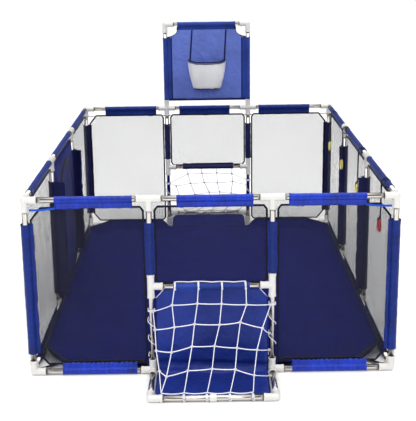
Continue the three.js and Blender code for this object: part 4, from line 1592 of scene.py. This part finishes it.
def basket_place(turn, drop):
    """turn runs from 0 to pi round the front, drop from 0 at the rim to 1 at the foot."""
    belly = 0.05 * math.sin(math.pi * drop)
    half = RIM_HALF * (1 + (FOOT_SHARE_X - 1) * drop + belly) * (1 - 0.012)
    reach = RIM_REACH * (1 + (FOOT_SHARE_Y - 1) * drop + belly) - 0.001
    up = basket_high[2] - 0.002 - (basket_high[2] - basket_low[2] - 0.004) * drop
    dip = 0.010 * math.sin(turn) * (1 - drop) + 0.003 * ripple(turn * 3, drop * 4, 71)
    return (half * math.cos(turn), BACK_Y - reach * math.sin(turn) ** 0.8, up - dip)


TURNS = np.linspace(0, math.pi, 33)
rows = [[basket_place(turn, drop) for turn in TURNS] for drop in np.linspace(0, 1, 15)]
foot = rows[-1]
for share in (0.66, 0.33, 0.0):
    rows.append([(p[0], BACK_Y - (BACK_Y - p[1]) * share, p[2] + 0.0015 * (1 - share)) for p in foot])
basket = skin("basket_mesh", rows)
thicken(basket, 0.0008)
hand_over(basket, basket_net, replaces=["hoop_basket"])
rim = tape("basket_rim", [basket_place(turn, 0.0) for turn in TURNS], 0.0022, 0.013, closed=False)
foot_hem = tape("basket_foot_hem", [basket_place(turn, 1.0) for turn in TURNS], 0.0020, 0.007, closed=False)
hand_over(join("basket_bands", [rim, foot_hem]), binding_navy)
sides = []
for turn in (0.10, math.pi - 0.10):
    line = [basket_place(turn, drop) for drop in np.linspace(0.02, 1, 16)]
    sides.append(tape("side", [(p[0], p[1] - 0.0006, p[2]) for p in line], 0.010, 0.0016, up=SOUTH,
                      closed=False))
hand_over(join("basket_side_bindings", sides), binding_white)
hangers = []
for top_x, rim_x in ((-0.073, -0.085), (0.099, 0.090)):
    line = []
    for k in range(15):
        t = k / 14
        x, up = top_x + (rim_x - top_x) * t, BAND_LOW + 0.006 + (basket_high[2] - BAND_LOW - 0.006) * t
        line.append((x, board_y(x, up) - 0.0013, up))
    hangers.append(tape("hanger", line, 0.008, 0.0014, up=SOUTH, closed=False))
hand_over(join("basket_straps", hangers), binding_navy)
print("basket hung")

# %% [markdown]
# ## Pull rings
# Four rings for small hands hang inside the right wall. Each has a webbing strap that
# goes round the top rail and through the ring, so strap and ring swing together. The
# ring is a moulded band with a dark rubber edge.

# %% Pull rings
STRAP_HALF = 0.010
STRAP_THICK = 0.0014
RING_TUBE = 0.0048
black_edge = moulded("ring_edge", solid_colour(0.07, 0.07, 0.10), rough=0.5)


def ring_of(name, centre, radius, section_radius, flat=1.0, sides=10, steps=48):
    path = [(centre[0], centre[1] + radius * math.cos(a), centre[2] + radius * math.sin(a))
            for a in np.linspace(0, 2 * math.pi, steps, endpoint=False)]
    section = [(x * flat, y) for x, y in round_section(section_radius, sides)]
    return sweep(name, path, section, EAST, closed=True)


for i in range(1, 5):
    ring_low, ring_high = box(f"pull_ring_{i}")
    y = (ring_low[1] + ring_high[1]) / 2
    centre = (ring_low[0] + 0.0045, y, ring_low[2] + 0.025)
    rail_x = ring_high[0] - 0.018
    loop_r = 0.018 - STRAP_THICK
    face_x = rail_x - loop_r
    path = [(rail_x + loop_r * math.cos(a), y, TOP_Z + loop_r * math.sin(a))
            for a in np.linspace(math.pi, -0.86 * math.pi, 26)]
    path += [(face_x + STRAP_THICK * 0.9, y, TOP_Z - 0.020 - 0.106 * k / 14) for k in range(15)]
    ring_top = centre[2] + 0.021
    path += [(centre[0] + (RING_TUBE + 0.0008) * math.cos(a), y,
              ring_top + (RING_TUBE + 0.0008) * math.sin(a))
             for a in np.linspace(0.25 * math.pi, -math.pi, 9)]
    path += [(face_x - STRAP_THICK * 0.3, y, z) for z in np.linspace(ring_top + 0.010, TOP_Z - 0.004, 14)]
    strap_section = [(t, w) for w, t in flat_section(2 * STRAP_HALF, STRAP_THICK)]
    strap = sweep("strap", path, strap_section, NORTH, closed=True)
    hand_over(strap, binding_black, body=f"ring_{i}")
    strap.name = f"pull_ring_{i}_strap"
    look, slot = (ring_red, "ring_red") if i == 1 else (ring_yellow, "ring_yellow")
    band = ring_of(f"pull_ring_{i}_band", centre, 0.0205, RING_TUBE, 0.9)
    hand_over(band, look, body=f"ring_{i}", replaces=[f"pull_ring_{i}"])
    edge = join(f"pull_ring_{i}_edge",
                [ring_of("outer", centre, 0.0250, 0.0009), ring_of("inner", centre, 0.0160, 0.0009)])
    hand_over(edge, black_edge, body=f"ring_{i}")
print("rings hung")

# %% [markdown]
# ## Stitches
# Every seam is sewn with a row of short stitches, a few millimetres each. The same
# kind of tree that set the zip's teeth lays them along the seams: beside each rail's
# tube and round the mat.

# %% Stitches
STITCH_PITCH = 0.0075
thread_blue = woven("thread_blue", solid_colour(0.30, 0.36, 0.82), rough=0.6, yarn=0.0006)
stitch_tree = small_parts_tree("stitch_row", thread_blue, "stitch")


def stitched(name, lines, facing, size=(0.0050, 0.0010, 0.0008)):
    piece = grown(name, stitch_tree, lines, STITCH_PITCH, size, facing)
    return hand_over(piece, thread_blue)


for wall, bays in BAYS.items():
    for label, side in (("inner", 1), ("outer", -1)):
        lines = []
        for i, bay in enumerate(bays):
            near, far = rail_trims(wall, i)
            steps = np.linspace(near + 0.006, bay.width - far - 0.006, 12)
            for z, way in ((TOP_Z, -1), (BASE_Z, 1)):
                if z == BASE_Z and i == 1 and wall in slides:
                    continue
                for off in (0.0155, 0.0275):
                    lines.append([bay.at(x, z + way * off, side * 0.0013) for x in steps])
        stitched(f"{wall}_{label}_stitches", lines, tuple(bays[0].inward * side))
mat_line = [(x * 0.994, y * 0.996, mat_height(x * 0.994, y * 0.996) + MAT_CLOTH / 2 + 0.0002) for x,
            y in round_trip(mat_marks)]
stitched("mat_stitches", [mat_line + mat_line[:1]], UP)
print("seams sewn")

# %% [markdown]
# ## Floor, light and camera
# A plain pale floor and large soft lights, as in a product studio. The camera stands
# at the front, a little left of the middle and above the rails, and looks down so
# that the whole yard is in view.

# %% Studio
FLOOR_HALF = 60.0
floor = mesh_piece("studio_floor", [(-FLOOR_HALF, -FLOOR_HALF, 0), (FLOOR_HALF, -FLOOR_HALF, 0),
                                    (FLOOR_HALF, FLOOR_HALF, 0), (-FLOOR_HALF, FLOOR_HALF, 0)],
                                    [(0, 1, 2, 3)])
floor_look, tree, shader = new_finish("studio_floor", Roughness=0.9, Specular_IOR_Level=0.1)
cloud = node(tree, "ShaderNodeTexNoise")
cloud.inputs["Scale"].default_value = 1.5
ramp = node(tree, "ShaderNodeValToRGB")
ramp.color_ramp.elements[0].color = (0.955, 0.955, 0.955, 1)
ramp.color_ramp.elements[1].color = (0.975, 0.975, 0.975, 1)
tree.links.new(node(tree, "ShaderNodeTexCoord").outputs["Object"], cloud.inputs["Vector"])
tree.links.new(cloud.outputs["Fac"], ramp.inputs["Fac"])
tree.links.new(ramp.outputs["Color"], shader.inputs["Base Color"])
floor.data.materials.append(floor_look)

world = bpy.data.worlds.new("studio")
world.use_nodes = True
bpy.context.scene.world = world
sky = world.node_tree
height = node(sky, "ShaderNodeSeparateXYZ")
sky.links.new(node(sky, "ShaderNodeTexCoord").outputs["Generated"], height.inputs["Vector"])
sky_ramp = node(sky, "ShaderNodeValToRGB")
stops = sky_ramp.color_ramp.elements
stops[0].position, stops[0].color = 0.0, (0.05, 0.05, 0.055, 1)
stops[1].position, stops[1].color = 1.0, (1.35, 1.35, 1.35, 1)
for place, level in ((0.30, 0.06), (0.55, 0.80), (0.70, 1.35)):
    stops.new(place).color = (level, level, level, 1)
sky.links.new(height.outputs["Z"], sky_ramp.inputs["Fac"])
background = sky.nodes["Background"]
sky.links.new(sky_ramp.outputs["Color"], background.inputs["Color"])
background.inputs["Strength"].default_value = 1.1


def soft_light(name, place, target, size, power):
    lamp = bpy.data.lights.new(name, "AREA")
    lamp.shape = "SQUARE"
    lamp.size = size
    lamp.energy = power
    held = placed(name, lamp)
    held.location = place
    held.rotation_euler = (Vector(target) - Vector(place)).to_track_quat("-Z", "Y").to_euler()


bpy.context.scene.view_settings.view_transform = "Standard"
soft_light("overhead", (0.0, 0.0, 4.6), (0, 0, 0), 5.0, 70)
soft_light("front_left", (-3.0, -5.2, 3.2), (0, 0, 0.3), 2.6, 90)
soft_light("front_right", (3.2, -5.0, 2.8), (0, 0, 0.3), 2.2, 60)
print("lights set")

# %% [markdown]
# The camera is a long lens some way off, so that the near and far walls differ
# little in size. It stands above the front rail and tilts down to take in the mat.

# %% Camera
CAMERA_PLACE = (-0.0187, -4.193, 1.481)
PITCH, YAW, ROLL = math.radians(15.22), -0.0030, math.radians(-0.735)
camera_data = bpy.data.cameras.new("front_view")
camera_data.sensor_fit = "HORIZONTAL"
camera_data.sensor_width = 36.0
camera_data.lens = 86.33
camera = placed("front_view", camera_data)
camera.matrix_world = (Matrix.Translation(CAMERA_PLACE) @ Matrix.Rotation(YAW, 4, "Z")
                       @ Matrix.Rotation(math.pi / 2 - PITCH, 4, "X") @ Matrix.Rotation(ROLL, 4, "Z"))
bpy.context.scene.camera = camera
print("camera placed")
